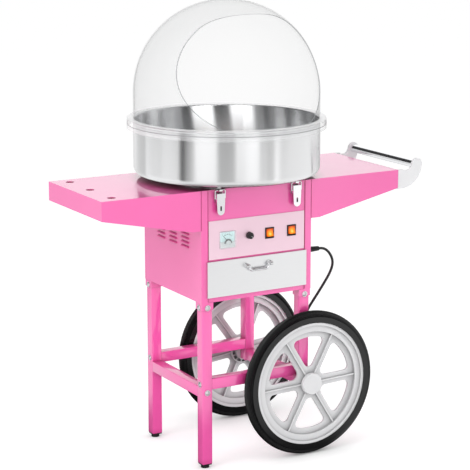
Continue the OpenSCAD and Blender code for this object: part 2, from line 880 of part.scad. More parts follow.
// Hooks under the bowl's floor: a flange, a drop and an upturned lip that the bail pulls down
module bowl_hooks() {
    back = latch_y + hook_in;
    lip = latch_y - hook_lip_in;
    floor_z = bail_top_z - wire_r - gap;
    color("silver") at_latches() translate([-hook_w / 2, 0, 0]) {
        translate([0, back, bowl_z - hook_t]) cube([hook_w, hook_flange_l, hook_t]);
        translate([0, back, floor_z - hook_t]) cube([hook_w, hook_t, bowl_z - floor_z + hook_t]);
        translate([0, lip - hook_t, floor_z - hook_t]) cube([hook_w, back + hook_t - lip + hook_t, hook_t]);
        translate([0, lip - hook_t, floor_z - hook_t]) cube([hook_w, hook_t, hook_t + hook_lip_h]);
    }
}

// Drive: a motor hung under the top plate, its shaft, slip rings and brushes
standoff_l = 30;
standoff_d = 10;
mount_w = 170;
mount_t = 3;
mount_hole_d = 44;
standoff_at = 70;
motor_boss_d = 40;
motor_boss_h = 5;
motor_bevel = 6;
shaft_deep = 36;
shaft_up = 47;
ring_d = 32;
ring_core_d = 26;
ring_h = 5;
ring_gap = 4;
ring_lift = 2;
brush_w = 24;
brush_l = 34;

mount_z = top_z - sheet_t - standoff_l;
motor_z = mount_z - mount_t;
ring_z = mount_z + motor_boss_h - mount_t + ring_lift;
rings_h = 2 * ring_h + 3 * ring_gap;

module motor_mount() {
    color("silver") difference() {
        union() {
            translate([0, 0, motor_z]) block(mount_w, mount_w, mount_t);
            both_sides() both_ends() translate([standoff_at, standoff_at, motor_z])
                cylinder(d = standoff_d, h = standoff_l + mount_t);
        }
        translate([0, 0, motor_z - over]) cylinder(d = mount_hole_d, h = mount_t + 2 * over);
    }
}

module motor() {
    r = motor_d / 2;
    color("slategray") difference() {
        rotate_extrude() polygon([
            [0, motor_z - motor_l], [r - motor_bevel, motor_z - motor_l], [r, motor_z - motor_l + motor_bevel],
            [r, motor_z], [motor_boss_d / 2, motor_z], [motor_boss_d / 2, motor_z + motor_boss_h],
            [0, motor_z + motor_boss_h]
        ]);
        translate([0, 0, motor_z - shaft_deep]) cylinder(d = shaft_d + 2 * run, h = shaft_deep + motor_boss_h + over);
    }
}

module drive_shaft() {
    z0 = motor_z - shaft_deep + gap;
    color("silver") translate([0, 0, z0]) cylinder(d = shaft_d, h = bowl_z + shaft_up - z0);
}

module slip_ring() {
    color("peru") difference() {
        rotate_extrude() {
            translate([0, ring_z]) square([ring_core_d / 2, rings_h]);
            for (k = [0, 1]) translate([0, ring_z + ring_gap + k * (ring_h + ring_gap)]) square([ring_d / 2, ring_h]);
        }
        translate([0, 0, ring_z - over]) cylinder(d = shaft_d + 2 * fit, h = rings_h + 2 * over);
    }
}

module brush_block() {
    color("saddlebrown") difference() {
        translate([0, -brush_w / 2, mount_z]) cube([ring_d / 2 + brush_l, brush_w, rings_h]);
        translate([0, 0, mount_z - over]) cylinder(d = mount_hole_d, h = ring_z - mount_z + ring_gap + over);
        translate([0, 0, mount_z - over]) cylinder(d = ring_d + 2 * gap, h = 2 * rings_h);
    }
}

// Spinning head: a pan on the shaft, a slotted heater band and a cover with the sugar mouth
head_lift = 34;
pan_t = 3;
pan_rim_h = 10;
pan_hub_d = 28;
pan_hub_h = 10;
nut_d = 20;
nut_h = 9;
band_t = 2.5;
band_h = 20;
band_slots = 24;
band_slot_w = 6;
band_margin = 4;
cover_t = 3;
sugar_mouth_d = 60;
funnel_h = 14;
funnel_t = 2;

head_z = bowl_z + head_lift;
band_z = head_z + pan_rim_h;
cover_z = band_z + band_h;

module spinner_pan() {
    r = head_d / 2;
    color("lightsteelblue") difference() {
        rotate_extrude() {
            translate([0, head_z]) square([r, pan_t]);
            translate([r - pan_t, head_z]) square([pan_t, pan_rim_h]);
            translate([0, head_z - pan_hub_h]) square([pan_hub_d / 2, pan_hub_h + pan_t]);
            translate([0, head_z]) square([nut_d / 2, pan_t + nut_h]);
        }
        translate([0, 0, head_z - pan_hub_h - over])
            cylinder(d = shaft_d + 2 * fit, h = bowl_z + shaft_up - head_z + pan_hub_h + over + fit);
    }
}

module heater_band() {
    r = head_d / 2;
    color("darkgoldenrod") difference() {
        translate([0, 0, band_z]) linear_extrude(band_h) difference() {
            circle(r);
            circle(r - band_t);
        }
        for (k = [0:band_slots - 1]) rotate(k * 360 / band_slots)
            translate([r - 2 * band_t, -band_slot_w / 2, band_z + band_margin])
                cube([4 * band_t, band_slot_w, band_h - 2 * band_margin]);
    }
}

module spinner_cover() {
    r = head_d / 2;
    mouth = sugar_mouth_d / 2;
    color("lightsteelblue") rotate_extrude() {
        translate([mouth, cover_z]) square([r - mouth, cover_t]);
        translate([mouth, cover_z + cover_t - funnel_h]) square([funnel_t, funnel_h]);
    }
}

// Bowl: one spun sheet with a rolled rim, a collar round the shaft and a ring to stand on
rim_roll_d = 7;
bowl_hole_d = 80;
collar_h = 24;
seat_ring_d = 300;
seat_ring_w = 12;

module bowl() {
    r = bowl_d / 2;
    in = r - bowl_corner_r;
    hole = bowl_hole_d / 2;
    seat = seat_ring_d / 2;
    color("whitesmoke") translate([0, 0, bowl_z]) rotate_extrude($fn = 128) {
        translate([hole, 0]) square([in - hole, bowl_wall]);
        translate([hole, 0]) square([bowl_wall, collar_h]);
        translate([in, bowl_corner_r]) intersection() {
            difference() {
                circle(bowl_corner_r);
                circle(bowl_corner_r - bowl_wall);
            }
            translate([0, -bowl_corner_r]) square(bowl_corner_r);
        }
        translate([r - bowl_wall, bowl_corner_r]) square([bowl_wall, bowl_h - bowl_corner_r - rim_roll_d / 2]);
        translate([r + rim_roll_d / 2 - bowl_wall, bowl_h - rim_roll_d / 2]) circle(d = rim_roll_d);
        translate([seat - bowl_wall, -bowl_seat_h]) square([bowl_wall, bowl_seat_h + bowl_wall / 2]);
        translate([seat - seat_ring_w, -bowl_seat_h]) square([seat_ring_w, bowl_wall]);
    }
}

// Dome: a clear hood on the rim, with a skirt outside it and a mouth toward the operator
dome_inset = 1;
skirt_gap = 8;
mouth_level_share = 0.6476;
mouth_crown_share = 0.7244;
mouth_crown_r = 40;
mouth_step = 0.05;

module dome() {
    r = bowl_d / 2 - dome_inset;
    seat = rim_z + gap;
    centre = seat + dome_wall_h;
    skirt_r = bowl_d / 2 + rim_roll_d + skirt_gap + dome_t;
    foot_z = seat + 2 * dome_t;
    level = centre + mouth_level_share * r;
    crown = centre + mouth_crown_share * r;
    deep = 2 * mouth_r;
    color("aliceblue", 0.3) difference() {
        rotate_extrude($fn = 128) {
            translate([0, centre]) intersection() {
                difference() {
                    circle(r, $fn = 128);
                    circle(r - dome_t, $fn = 128);
                }
                square(r);
            }
            translate([r - dome_t, seat]) square([dome_t, dome_wall_h]);
            translate([r - dome_t, seat]) square([skirt_r - r + dome_t, dome_t]);
            translate([skirt_r - dome_t, seat + dome_t - skirt_h]) square([dome_t, skirt_h]);
        }
        translate([-bowl_d, 0, 0]) rotate([90, 0, 90]) linear_extrude(2 * bowl_d) {
            intersection() {
                translate([-mouth_front - mouth_r, level]) circle(mouth_r - mouth_step, $fn = 128);
                translate([-mouth_front - deep, foot_z]) square([deep, level - foot_z]);
            }
            translate([-mouth_front - deep, level]) square([deep, crown - level]);
            translate([-mouth_front - mouth_crown_r, crown]) circle(mouth_crown_r - mouth_step, $fn = 64);
            translate([-mouth_front - deep, crown]) square([deep - mouth_crown_r, mouth_crown_r]);
        }
    }
}

// Drawer: an open box on two runners, a folded front and a drop handle
drawer_h = 82;
drawer_t = 1;
front_t = 1.2;
front_fold = 3.6;
front_gap = 0.4;
bail_x = 30;
bail_r = 4;
bail_drop = 13;
bail_bend_r = 9;
bail_pin_r = 2.5;
eye_r = 5.5;
eye_w = 8;
eye_out = 7;
eye_foot_r = 7;
eye_foot_t = 2;
bail_pivot_down = 22;

drawer_face_y = front_y - front_gap - front_fold;
bail_y = drawer_face_y - eye_out;
bail_z = strip_z - bail_pivot_down;

module drawer_tray() {
    y0 = drawer_face_y + front_t;
    color("lightgray") difference() {
        translate([-drawer_w / 2, y0, drawer_z]) cube([drawer_w, drawer_l, drawer_h]);
        translate([-drawer_w / 2 + drawer_t, y0 + drawer_t, drawer_z + drawer_t])
            cube([drawer_w - 2 * drawer_t, drawer_l - 2 * drawer_t, drawer_h]);
    }
}

// The drawer's face, folded back at its edges, with the two eyes that carry the drop handle
module drawer_front() {
    z0 = body_z + bottom_rail_h;
    w = drawer_front_w;
    h = drawer_front_h;
    color("gainsboro") {
        difference() {
            translate([-w / 2, drawer_face_y, z0]) cube([w, front_fold, h]);
            translate([-w / 2 + front_t, drawer_face_y + front_t, z0 + front_t])
                cube([w - 2 * front_t, front_fold, h - 2 * front_t]);
        }
        both_sides() translate([bail_x + bail_r + gap, 0, bail_z]) difference() {
            union() {
                translate([0, bail_y, 0]) rod_x(eye_r, 0, eye_w);
                translate([0, bail_y, -eye_r]) cube([eye_w, eye_out, 2 * eye_r]);
                translate([eye_w / 2, 0, 0]) rod_y(eye_foot_r, drawer_face_y - eye_foot_t, drawer_face_y);
            }
            translate([0, bail_y, 0]) rod_x(bail_pin_r + run, -over, eye_w + over);
        }
    }
}

// A drop handle of round bar, hanging from its two pins
module drawer_bail() {
    low = bail_z - bail_drop;
    bend_x = bail_x - bail_bend_r;
    color("silver") {
        translate([0, bail_y, low]) rod_x(bail_r, -bend_x, bend_x);
        both_sides() {
            translate([bend_x, bail_y, low + bail_bend_r]) rotate([90, 0, 0]) rotate([0, 0, -90])
                rotate_extrude(angle = 90) translate([bail_bend_r, 0]) circle(bail_r);
            translate([bail_x, bail_y, low + bail_bend_r]) cylinder(r = bail_r, h = bail_drop - bail_bend_r);
            translate([bail_x, bail_y, bail_z]) sphere(bail_r);
            translate([0, bail_y, bail_z]) rod_x(bail_pin_r, bail_x, bail_x + bail_r + gap + eye_w);
        }
    }
}

// Mains lead: a gland on the right wall, a hanging lead, a coil on the floor and its plug
gland_nut_r = 11;
gland_nut_h = 6;
gland_flange_r = 10;
gland_flange_h = 6;
gland_l = 43;
gland_root_r = 8.5;
gland_tip_r = 6.5;
gland_grooves = 4;
groove_step = 7;

module cord_gland() {
    color("black") translate([body_w / 2, -cord_hole_y, body_z + cord_hole_z]) difference() {
        union() {
            translate([-sheet_t - gland_nut_h, 0, 0]) rotate([0, 90, 0]) cylinder(r = gland_nut_r, h = gland_nut_h, $fn = 6);
            rod_x(gland_neck_d / 2, -sheet_t - fit, fit);
            rod_x(gland_flange_r, 0, gland_flange_h);
            translate([gland_flange_h, 0, 0]) rotate([0, 90, 0])
                cylinder(r1 = gland_root_r, r2 = gland_tip_r, h = gland_l - gland_flange_h);
        }
        for (k = [1:gland_grooves]) translate([gland_flange_h + k * groove_step, 0, 0]) rotate([0, 90, 0])
            rotate_extrude() translate([gland_tip_r, 0]) square([gland_root_r, groove_step / 4]);
    }
}

// The lead's route to the coil, chosen by hand: across and back from the gland's tip, and height.
// The heights stretch with the gland's own height
route_plan = [
    [0, 0, 579], [16, 0, 577], [32, 2, 568], [47, 6, 551], [56, 11, 532], [56, 15, 513],
    [48, 19, 491], [36, 24, 468], [20, 30, 440], [4, 36, 413], [-8, 42, 388], [-14, 48, 350],
    [-12, 56, 305], [-7, 65, 260], [-3, 73, 215], [-1, 80, 172], [-3, 85, 135], [-10, 89, 104],
    [-19, 91, 76], [-29, 91, 50], [-38, 88, 29], [-46, 82, 13], [-54, 75, 6], [-61, 66, 4]
];
gland_tip = [body_w / 2 + gland_l, -cord_hole_y, body_z + cord_hole_z];
lead_rest_z = 4;
function route_z(z) =
    lead_rest_z + (z - lead_rest_z) * (gland_tip[2] - lead_rest_z) / (route_plan[0][2] - lead_rest_z);
cord_route = [for (p = route_plan) [gland_tip[0] + p[0], gland_tip[1] + p[1], route_z(p[2])]];
cord_steps = 2;
cord_sides = 8;
coil_heading = 240;
coil_sides = 6;
coil_rings = 24;
coil_turns = 2;
coil_r = 49.5;
coil_pitch = 8.6;
coil_layer = 8.2;
coil_end_l = 24;

function unit(v) = v / norm(v);

// A smooth curve through the route's points, with each end's direction given
function route_point(p, k) = k < 0 ? 2 * p[0] - p[1] : k >= len(p) ? 2 * p[len(p) - 1] - p[len(p) - 2] : p[k];

function between(a, b, c, d, t) =
    (2 * b + (c - a) * t + (2 * a - 5 * b + 4 * c - d) * t * t + (3 * b - a - 3 * c + d) * t * t * t) / 2;

function curve(p, steps) = concat(
    [for (k = [0:len(p) - 2], s = [0:steps - 1])
        between(route_point(p, k - 1), p[k], p[k + 1], route_point(p, k + 2), s / steps)],
    [p[len(p) - 1]]
);

// Directions along a path: given at both ends, and through the neighbours between them
function headings(path, first, last) = [
    for (k = [0:len(path) - 1])
        k == 0 ? unit(first) : k == len(path) - 1 ? unit(last) : unit(path[k + 1] - path[k - 1])
];

// One closed tube of triangles round a path
module swept_tube(path, first, last, r, sides, level) {
    heads = headings(path, first, last);
    rings = len(path);
    points = [
        for (k = [0:rings - 1])
            let (a = unit(cross(level, heads[k])), b = cross(heads[k], a))
            for (s = [0:sides - 1]) path[k] + r * (cos(s * 360 / sides) * a + sin(s * 360 / sides) * b)
    ];
    walls = [
        for (k = [0:rings - 2], s = [0:sides - 1])
            let (n = (s + 1) % sides, i = k * sides, j = i + sides)
            each [[i + s, j + n, i + n], [i + s, j + s, j + n]]
    ];
    caps = [
        for (s = [1:sides - 2])
            let (e = (rings - 1) * sides)
            each [[0, s, s + 1], [e, e + s + 1, e + s]]
    ];
    polyhedron(points, concat(walls, caps));
}

cord_out = [1, 0, 0];
coil_in = [cos(coil_heading), sin(coil_heading), 0];
cord_level = [0, 1, 0];
coil_level = [0, 0, 1];

module power_cord() {
    color("black") swept_tube(curve(cord_route, cord_steps), cord_out, coil_in, cord_d / 2, cord_sides, cord_level);
}

// The coil: a flat spiral inward on the floor, a climb in the half turn where it reverses,
// and a spiral outward on top
coil_start = cord_route[len(cord_route) - 1] + cord_d * coil_in;
coil_centre = coil_start + coil_r * [-coil_in[1], coil_in[0], 0];
coil_first = coil_heading - 90;
coil_in_angle = coil_turns * 360;
coil_all_angle = 2 * coil_in_angle + 180;

function coil_radius(a) = coil_r - coil_pitch / 360 * min(a, coil_all_angle - a);

function coil_rise(a) =
    coil_layer * (a < coil_in_angle ? 0 : a < coil_in_angle + 180 ? (1 - cos(a - coil_in_angle)) / 2 : 1);

function coil_point(a) =
    coil_centre + coil_radius(a) * [cos(coil_first + a), sin(coil_first + a), 0] + [0, 0, coil_rise(a)];

coil_end_angle = coil_first + coil_all_angle;
coil_out = [-sin(coil_end_angle), cos(coil_end_angle), 0];
coil_loops = [for (k = [0:coil_all_angle * coil_rings / 360]) coil_point(k * 360 / coil_rings)];
coil_path = concat(
    [coil_start - cord_d * coil_in], coil_loops, [coil_loops[len(coil_loops) - 1] + coil_end_l * coil_out]
);
coil_least_gap = min([
    for (i = [0:len(coil_path) - 1], j = [i + coil_rings / 2:len(coil_path) - 1])
        norm(coil_path[i] - coil_path[j]) - cord_d
]);
echo(coil_least_gap = coil_least_gap);

module cord_coil() {
    color("black") swept_tube(coil_path, coil_in, coil_out, cord_d / 2, coil_sides, coil_level);
}

// A flat moulded plug with two round pins, lying beside the coil
plug_w = 35;
plug_h = 22;
plug_l = 34;
plug_tail_l = 16;
plug_tail_r = 7.5;
plug_tip_r = 5;
plug_pin_d = 4.8;
plug_pin_l = 19;
plug_pin_pitch = 19;

module power_plug() {
    side = (plug_w - plug_h) / 2;
    color("black") translate(coil_path[len(coil_path) - 1]) rotate([0, 90, coil_end_angle + 90]) {
        cylinder(r1 = plug_tip_r, r2 = plug_tail_r, h = plug_tail_l);
        translate([0, 0, plug_tail_l]) linear_extrude(plug_l) {
            for (s = [1, -1]) translate([0, s * side]) circle(d = plug_h);
            square([plug_h, 2 * side], center = true);
        }
        for (s = [1, -1]) translate([0, s * plug_pin_pitch / 2, plug_tail_l + plug_l])
            cylinder(d = plug_pin_d, h = plug_pin_l);
    }
}

placed() leg_front_left();
placed() leg_back_left();
placed() leg_front_right();
placed() leg_back_right();
placed() feet();
placed() stretcher_front();
placed() stretcher_back();
placed() stretcher_left();
placed() stretcher_right();
placed() axle();
placed() frame_bolts();
placed() wheel_front();
placed() wheel_back();
placed() tyre_front();
placed() tyre_back();
placed() hub_cap_front();
placed() hub_cap_back();
placed() floor_pan();
placed() side_panel_left();
placed() side_panel_right();
placed() back_panel();
placed() front_panel();
placed() top_plate();
placed() tray_left();
placed() tray_right();
placed() handle_brackets();
placed() push_bar();
placed() control_panel();
placed() meter_housing();
placed() meter_dial();
placed() meter_needle();
placed() meter_lens();
placed() power_knob();
placed() power_regulator();
placed() switch_housings();
placed() heat_rocker();
placed() motor_rocker();
placed() latch_bases();
placed() latch_lever_left();
placed() latch_lever_right();
placed() latch_bail_left();
placed() latch_bail_right();
placed() bowl_hooks();
placed() motor();
placed() motor_mount();
placed() drive_shaft();
placed() slip_ring();
placed() brush_block();
placed() spinner_pan();
placed() heater_band();
placed() spinner_cover();
placed() bowl();
placed() dome();
placed() drawer_tray();
placed() drawer_front();
placed() drawer_bail();
placed() cord_gland();
placed() power_cord();
placed() cord_coil();
placed() power_plug();
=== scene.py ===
import math
import bmesh
import bpy
from mathutils import Matrix, Vector


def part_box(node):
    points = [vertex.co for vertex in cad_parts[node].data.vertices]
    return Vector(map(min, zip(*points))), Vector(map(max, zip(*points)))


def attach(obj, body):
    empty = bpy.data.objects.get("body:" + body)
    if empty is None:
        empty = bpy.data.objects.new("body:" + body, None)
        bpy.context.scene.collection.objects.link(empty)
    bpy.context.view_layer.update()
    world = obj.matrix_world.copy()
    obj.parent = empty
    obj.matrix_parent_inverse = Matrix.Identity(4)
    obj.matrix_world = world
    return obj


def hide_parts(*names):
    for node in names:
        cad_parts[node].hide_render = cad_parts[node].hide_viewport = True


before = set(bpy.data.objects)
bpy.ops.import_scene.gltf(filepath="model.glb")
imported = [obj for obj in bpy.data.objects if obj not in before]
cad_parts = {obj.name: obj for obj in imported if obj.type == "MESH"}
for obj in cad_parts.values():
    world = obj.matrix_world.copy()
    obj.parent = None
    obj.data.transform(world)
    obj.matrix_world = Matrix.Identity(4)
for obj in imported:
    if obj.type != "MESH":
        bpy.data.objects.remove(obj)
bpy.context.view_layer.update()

# Tube frame and cabinet: square tube and folded sheet, all in one pink powder coat.
# The coat is baked on, so it has a fine orange peel, a clear gloss and faint clouding.
class Wire:
    """A socket in a node tree. Sums and products of wires add Math nodes."""

    def __init__(self, tree, socket=None):
        self.tree, self.socket = tree, socket

    def node(self, kind, settings=None, inputs=None, out=0):
        """Adds a node: its type, its settings, the values or wires of its sockets, and the output that is used."""
        made = self.tree.nodes.new(kind if "Node" in kind else "ShaderNode" + kind)
        for key, value in (settings or {}).items():
            if key == "stops":
                ramp = made.color_ramp
                while len(ramp.elements) < len(value):
                    ramp.elements.new(1.0)
                for stop, (place, colour) in zip(ramp.elements, value):
                    stop.position, stop.color = place, colour
            else:
                setattr(made, key, value)
        for key, value in (inputs or {}).items():
            for one in value if isinstance(value, list) else [value]:
                if isinstance(one, Wire):
                    self.tree.links.new(one.socket, made.inputs[key])
                else:
                    made.inputs[key].default_value = one
        return Wire(self.tree, made.outputs[out] if len(made.outputs) else None)

    def maths(self, operation, a, b):
        return self.node("Math", {"operation": operation}, {0: a, 1: b})

    def __add__(self, other): return self.maths("ADD", self, other)
    def __radd__(self, other): return self.maths("ADD", other, self)
    def __mul__(self, other): return self.maths("MULTIPLY", self, other)
    def __rmul__(self, other): return self.maths("MULTIPLY", other, self)
    def __truediv__(self, other): return self.maths("DIVIDE", self, other)
    def __rtruediv__(self, other): return self.maths("DIVIDE", other, self)
    def __pow__(self, other): return self.maths("POWER", self, other)
    def __rpow__(self, other): return self.maths("POWER", other, self)


def rgb(red, green, blue):
    """A screen colour of 0 to 255 as Blender's linear colour."""
    shares = [c / 255 for c in (red, green, blue)]
    return tuple(c / 12.92 if c <= 0.04045 else ((c + 0.055) / 1.055) ** 2.4 for c in shares) + (1.0,)


def bare_finish(name):
    """A new, empty material, the wire that its nodes are added by, and the place on the piece."""
    material = bpy.data.materials.new(name)
    material.use_nodes = True
    material.node_tree.nodes.clear()
    wire = Wire(material.node_tree)
    return material, wire, wire.node("TexCoord", out="Object")


def surfaced(material, wire, sockets):
    """Closes a material with one Principled surface."""
    wire.node("OutputMaterial", None, {"Surface": wire.node("BsdfPrincipled", None, sockets)})
    return material


def mixed(wire, share, one, other):
    return wire.node("Mix", {"data_type": "RGBA"}, {0: share, 6: one, 7: other}, out=2)


def shaded_in_creases(wire, colour, crease_shade, alone):
    """The colour darkened towards a second one in its creases, where two faces stand close together: painted
    shade.
    """
    if crease_shade is None:
        return colour
    clear = wire.node("AmbientOcclusion", {"samples": 8, "only_local": alone}, {"Distance": 0.03}, out="AO")
    return mixed(wire, clear, crease_shade, colour)


def powder_coat(name, colour, shade, gloss, peel=0.10, coat=1.0, crease_shade=None):
    material, wire, at = bare_finish(name)
    cloud = wire.node("TexNoise", None, {"Vector": at, "Scale": 6.0, "Detail": 3.0})
    grain = wire.node("TexNoise", None, {"Vector": at, "Scale": 380.0, "Detail": 2.0})
    return surfaced(material, wire, {
        "Base Color": shaded_in_creases(wire, mixed(wire, cloud, colour, shade), crease_shade, alone=False),
        "Roughness": gloss + cloud * 0.08,
        "Normal": wire.node("Bump", None, {"Height": grain, "Strength": peel, "Distance": 0.0006}),
        "Coat Weight": coat, "Coat Roughness": 0.07, "Coat IOR": 1.85, "Specular IOR Level": 0.75,
    })


def joined_shape(node):
    """A CAD node's triangles with their corners joined, ready to be worked on."""
    shape = bmesh.new()
    shape.from_mesh(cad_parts[node].data)
    bmesh.ops.remove_doubles(shape, verts=shape.verts, dist=0.000005)
    return shape


def put(name, data):
    """A new object in the scene."""
    made = bpy.data.objects.new(name, data)
    bpy.context.scene.collection.objects.link(made)
    return made


def settle(name, shape, materials, body, *nodes, angle=32):
    """Makes a worked shape a piece on a body, smooth where its faces meet at less than the angle."""
    limit = math.radians(angle)
    for face in shape.faces:
        face.smooth = True
    for edge in shape.edges:
        edge.smooth = len(edge.link_faces) == 2 and edge.calc_face_angle(0) < limit
    mesh = bpy.data.meshes.new(name)
    shape.to_mesh(mesh)
    shape.free()
    if "custom_normal" in mesh.attributes:
        mesh.attributes.remove(mesh.attributes["custom_normal"])
    for material in materials if isinstance(materials, list) else [materials]:
        mesh.materials.append(material)
    piece = put(name, mesh)
    if nodes:
        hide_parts(*nodes)
    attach(piece, body)
    return piece


def eased(node, material, fold):
    """A copy of a square tube with its long corners rounded, as rolling leaves them."""
    nearly_flat, long_edge, sharp = 0.01, 0.025, 0.9
    shape = joined_shape(node)
    bmesh.ops.dissolve_limit(shape, angle_limit=nearly_flat, verts=shape.verts, edges=shape.edges)
    corners = [e for e in shape.edges if len(e.link_faces) == 2 and e.calc_length() > long_edge
               and e.calc_face_angle_signed(0) > sharp]
    bmesh.ops.bevel(shape, geom=corners, offset=fold, segments=3, profile=0.5, affect="EDGES", clamp_overlap=True)
    settle(node + "_eased", shape, material, "cart", node, angle=40)


def dress(material, *nodes):
    """Gives CAD nodes that stay as they are their finish."""
    for name in nodes:
        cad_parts[name].data.materials.clear()
        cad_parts[name].data.materials.append(material)


cabinet_half, tube_corner = 0.175, 0.0020
cart_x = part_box("top_plate")[0].x + cabinet_half
# The crimson crease colour is painted shade, darkening the pink where faces stand close together.
pink_coat = powder_coat("pink_coat", rgb(240, 87, 169), rgb(235, 80, 162), gloss=0.36, crease_shade=rgb(150, 14, 74))
for name in ("leg_front_left", "leg_back_left", "leg_front_right", "leg_back_right",
             "stretcher_front", "stretcher_back", "stretcher_left", "stretcher_right"):
    eased(name, pink_coat, tube_corner)
dress(pink_coat, "floor_pan", "side_panel_left", "side_panel_right", "back_panel", "front_panel", "top_plate",
      "tray_left", "tray_right")
for name in ("tray_left", "tray_right"):  # out of mirror rays, so that the bowl doesn't turn pink
    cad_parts[name].visible_glossy = False

# Feet, gland, plug, knob and switch bodies: dark moulded plastic with a fine spark texture.
# The feet push into the tube, the gland clamps the wall, and the plug is moulded on the lead.
def moulded(name, colour, shade, gloss, grain=900.0, depth=0.12, crease_shade=None):
    material, wire, at = bare_finish(name)
    cloud = wire.node("TexNoise", None, {"Vector": at, "Scale": 14.0, "Detail": 4.0})
    spark = wire.node("TexVoronoi", None, {"Vector": at, "Scale": grain})
    return surfaced(material, wire, {
        "Base Color": shaded_in_creases(wire, mixed(wire, cloud, colour, shade), crease_shade, alone=True),
        "Roughness": gloss + cloud * 0.12,
        "Normal": wire.node("Bump", None, {"Height": spark, "Strength": depth, "Distance": 0.0003}),
    })


def rounded(node, material, body="cart"):
    """A copy of a CAD node whose round faces shade round."""
    return settle(node + "_round", joined_shape(node), material, body, node)


dark_plastic = moulded("dark_plastic", rgb(34, 32, 34), rgb(24, 23, 25), gloss=0.42)
black_plastic = moulded("black_plastic", rgb(20, 19, 20), rgb(13, 13, 14), gloss=0.34)
for name in ("feet", "power_regulator", "brush_block"):
    rounded(name, dark_plastic)
rounded("switch_housings", black_plastic)
gland_piece = rounded("cord_gland", black_plastic)
plug_piece = rounded("power_plug", black_plastic)

# Frame bolts: button heads with a hexagon socket and a washer, in bright zinc-plated steel.
# One pair holds each leg in its socket, and one goes through the tube into each stretcher.
def plated(name, colour, shade, gloss, streak=60.0, depth=0.04, stretch=(1.0, 1.0, 1.0), spun=0.0):
    material, wire, at = bare_finish(name)
    drawn = wire.node("Mapping", None, {"Vector": at, "Scale": stretch})
    cloud = wire.node("TexNoise", None, {"Vector": drawn, "Scale": streak, "Detail": 5.0, "Roughness": 0.65})
    return surfaced(material, wire, {
        "Base Color": mixed(wire, cloud, colour, shade), "Metallic": 1.0,
        "Roughness": gloss + cloud * 0.10,
        "Normal": wire.node("Bump", None, {"Height": cloud, "Strength": depth, "Distance": 0.0004}),
        "Anisotropic": spun, "Anisotropic Rotation": 0.25,
    })


def plan(name, *sizes):
    """A Geometry Nodes tree: one geometry and some named sizes in, and a wire to add nodes by."""
    tree = bpy.data.node_groups.new(name, "GeometryNodeTree")
    tree.interface.new_socket("Places", in_out="INPUT", socket_type="NodeSocketGeometry")
    for size in sizes:
        tree.interface.new_socket(size, in_out="INPUT", socket_type="NodeSocketFloat")
    tree.interface.new_socket("Piece", in_out="OUTPUT", socket_type="NodeSocketGeometry")
    given = tree.nodes.new("NodeGroupInput")
    return tree, Wire(tree), {socket.name: Wire(tree, socket) for socket in given.outputs if socket.name}


def close_plan(wire, made, material):
    real = wire.node("GeometryNodeRealizeInstances", None, {"Geometry": made})
    done = wire.node("GeometryNodeSetMaterial", None, {"Geometry": real, "Material": material})
    wire.node("NodeGroupOutput", None, {"Piece": done})


def plain_mesh(holder):
    """What a holder comes to as a plain mesh. The holder is taken away."""
    mesh = bpy.data.meshes.new_from_object(holder.evaluated_get(bpy.context.evaluated_depsgraph_get()))
    holder.modifiers.clear()
    bpy.data.objects.remove(holder)
    return mesh


def grown(name, tree, material, body, places, sizes, lines=(), facing=(), nodes=()):
    """Runs a tree on a few points or lines, and keeps what it makes as a plain mesh on a body."""
    base = bpy.data.meshes.new(name + "_places")
    base.from_pydata(places, lines, [])
    if facing:
        ways = base.attributes.new("facing", "FLOAT_VECTOR", "POINT")
        for item, way in zip(ways.data, facing):
            item.vector = way
    holder = put(name + "_places", base)
    step = holder.modifiers.new("plan", "NODES")
    step.node_group = tree
    for socket in tree.interface.items_tree:
        if socket.name in sizes:
            step[socket.identifier] = sizes[socket.name]
    shape = bmesh.new()
    shape.from_mesh(plain_mesh(holder))
    bmesh.ops.remove_doubles(shape, verts=shape.verts, dist=0.000002)
    for face in shape.faces:
        face.material_index = 0
    return settle(name, shape, material, body, *nodes)


def xyz(wire, x=0.0, y=0.0, z=0.0):
    return wire.node("CombineXYZ", None, {"X": x, "Y": y, "Z": z})


def moved(wire, piece, **change):
    """A piece in a tree after a Scale, Rotation or Translation."""
    return wire.node("GeometryNodeTransform", None, {"Geometry": piece, **change})


def set_out(wire, places, piece, **turn):
    """A piece in a tree, repeated at its places."""
    return wire.node("GeometryNodeInstanceOnPoints", None, {"Points": places, "Instance": piece, **turn})


def solids(node):
    """The lowest and highest corner of each separate solid in a node."""
    shape, found = joined_shape(node), []
    left = set(shape.verts)
    while left:
        reach, group = [left.pop()], []
        while reach:
            corner = reach.pop()
            group.append(corner.co.copy())
            for edge in corner.link_edges:
                other = edge.other_vert(corner)
                if other in left:
                    left.remove(other)
                    reach.append(other)
        found.append((Vector(map(min, zip(*group))), Vector(map(max, zip(*group)))))
    shape.free()
    return found


zinc = plated("zinc", rgb(250, 250, 252), rgb(238, 239, 242), gloss=0.48)
screw_plan, wire, size = plan("button_screw", "Head radius", "Head height", "Socket radius")
head_r, head_h = size["Head radius"], size["Head height"]
socket_rise, washer_wide, washer_thick = 1.4, 1.18, 0.5
cap = wire.node("GeometryNodeMeshUVSphere", None, {"Segments": 20, "Rings": 10, "Radius": 1.0})
cap = moved(wire, cap, Scale=xyz(wire, head_r, head_r, head_h))
key = wire.node("GeometryNodeMeshCylinder", None, {
    "Vertices": 6, "Radius": size["Socket radius"], "Depth": 2 * head_h}, out="Mesh")
key = moved(wire, key, Translation=xyz(wire, z=socket_rise * head_h))
cap = wire.node("GeometryNodeMeshBoolean", {"operation": "DIFFERENCE"}, {"Mesh 1": cap, "Mesh 2": [key]})
washer = wire.node("GeometryNodeMeshCylinder", None, {
    "Vertices": 24, "Radius": washer_wide * head_r, "Depth": washer_thick * head_h}, out="Mesh")
screw = wire.node("GeometryNodeJoinGeometry", None, {"Geometry": [cap, washer]})
way = wire.node("GeometryNodeInputNamedAttribute", {"data_type": "FLOAT_VECTOR"}, {"Name": "facing"})
turned = wire.node("FunctionNodeAlignRotationToVector", {"axis": "Z"}, {"Vector": way})
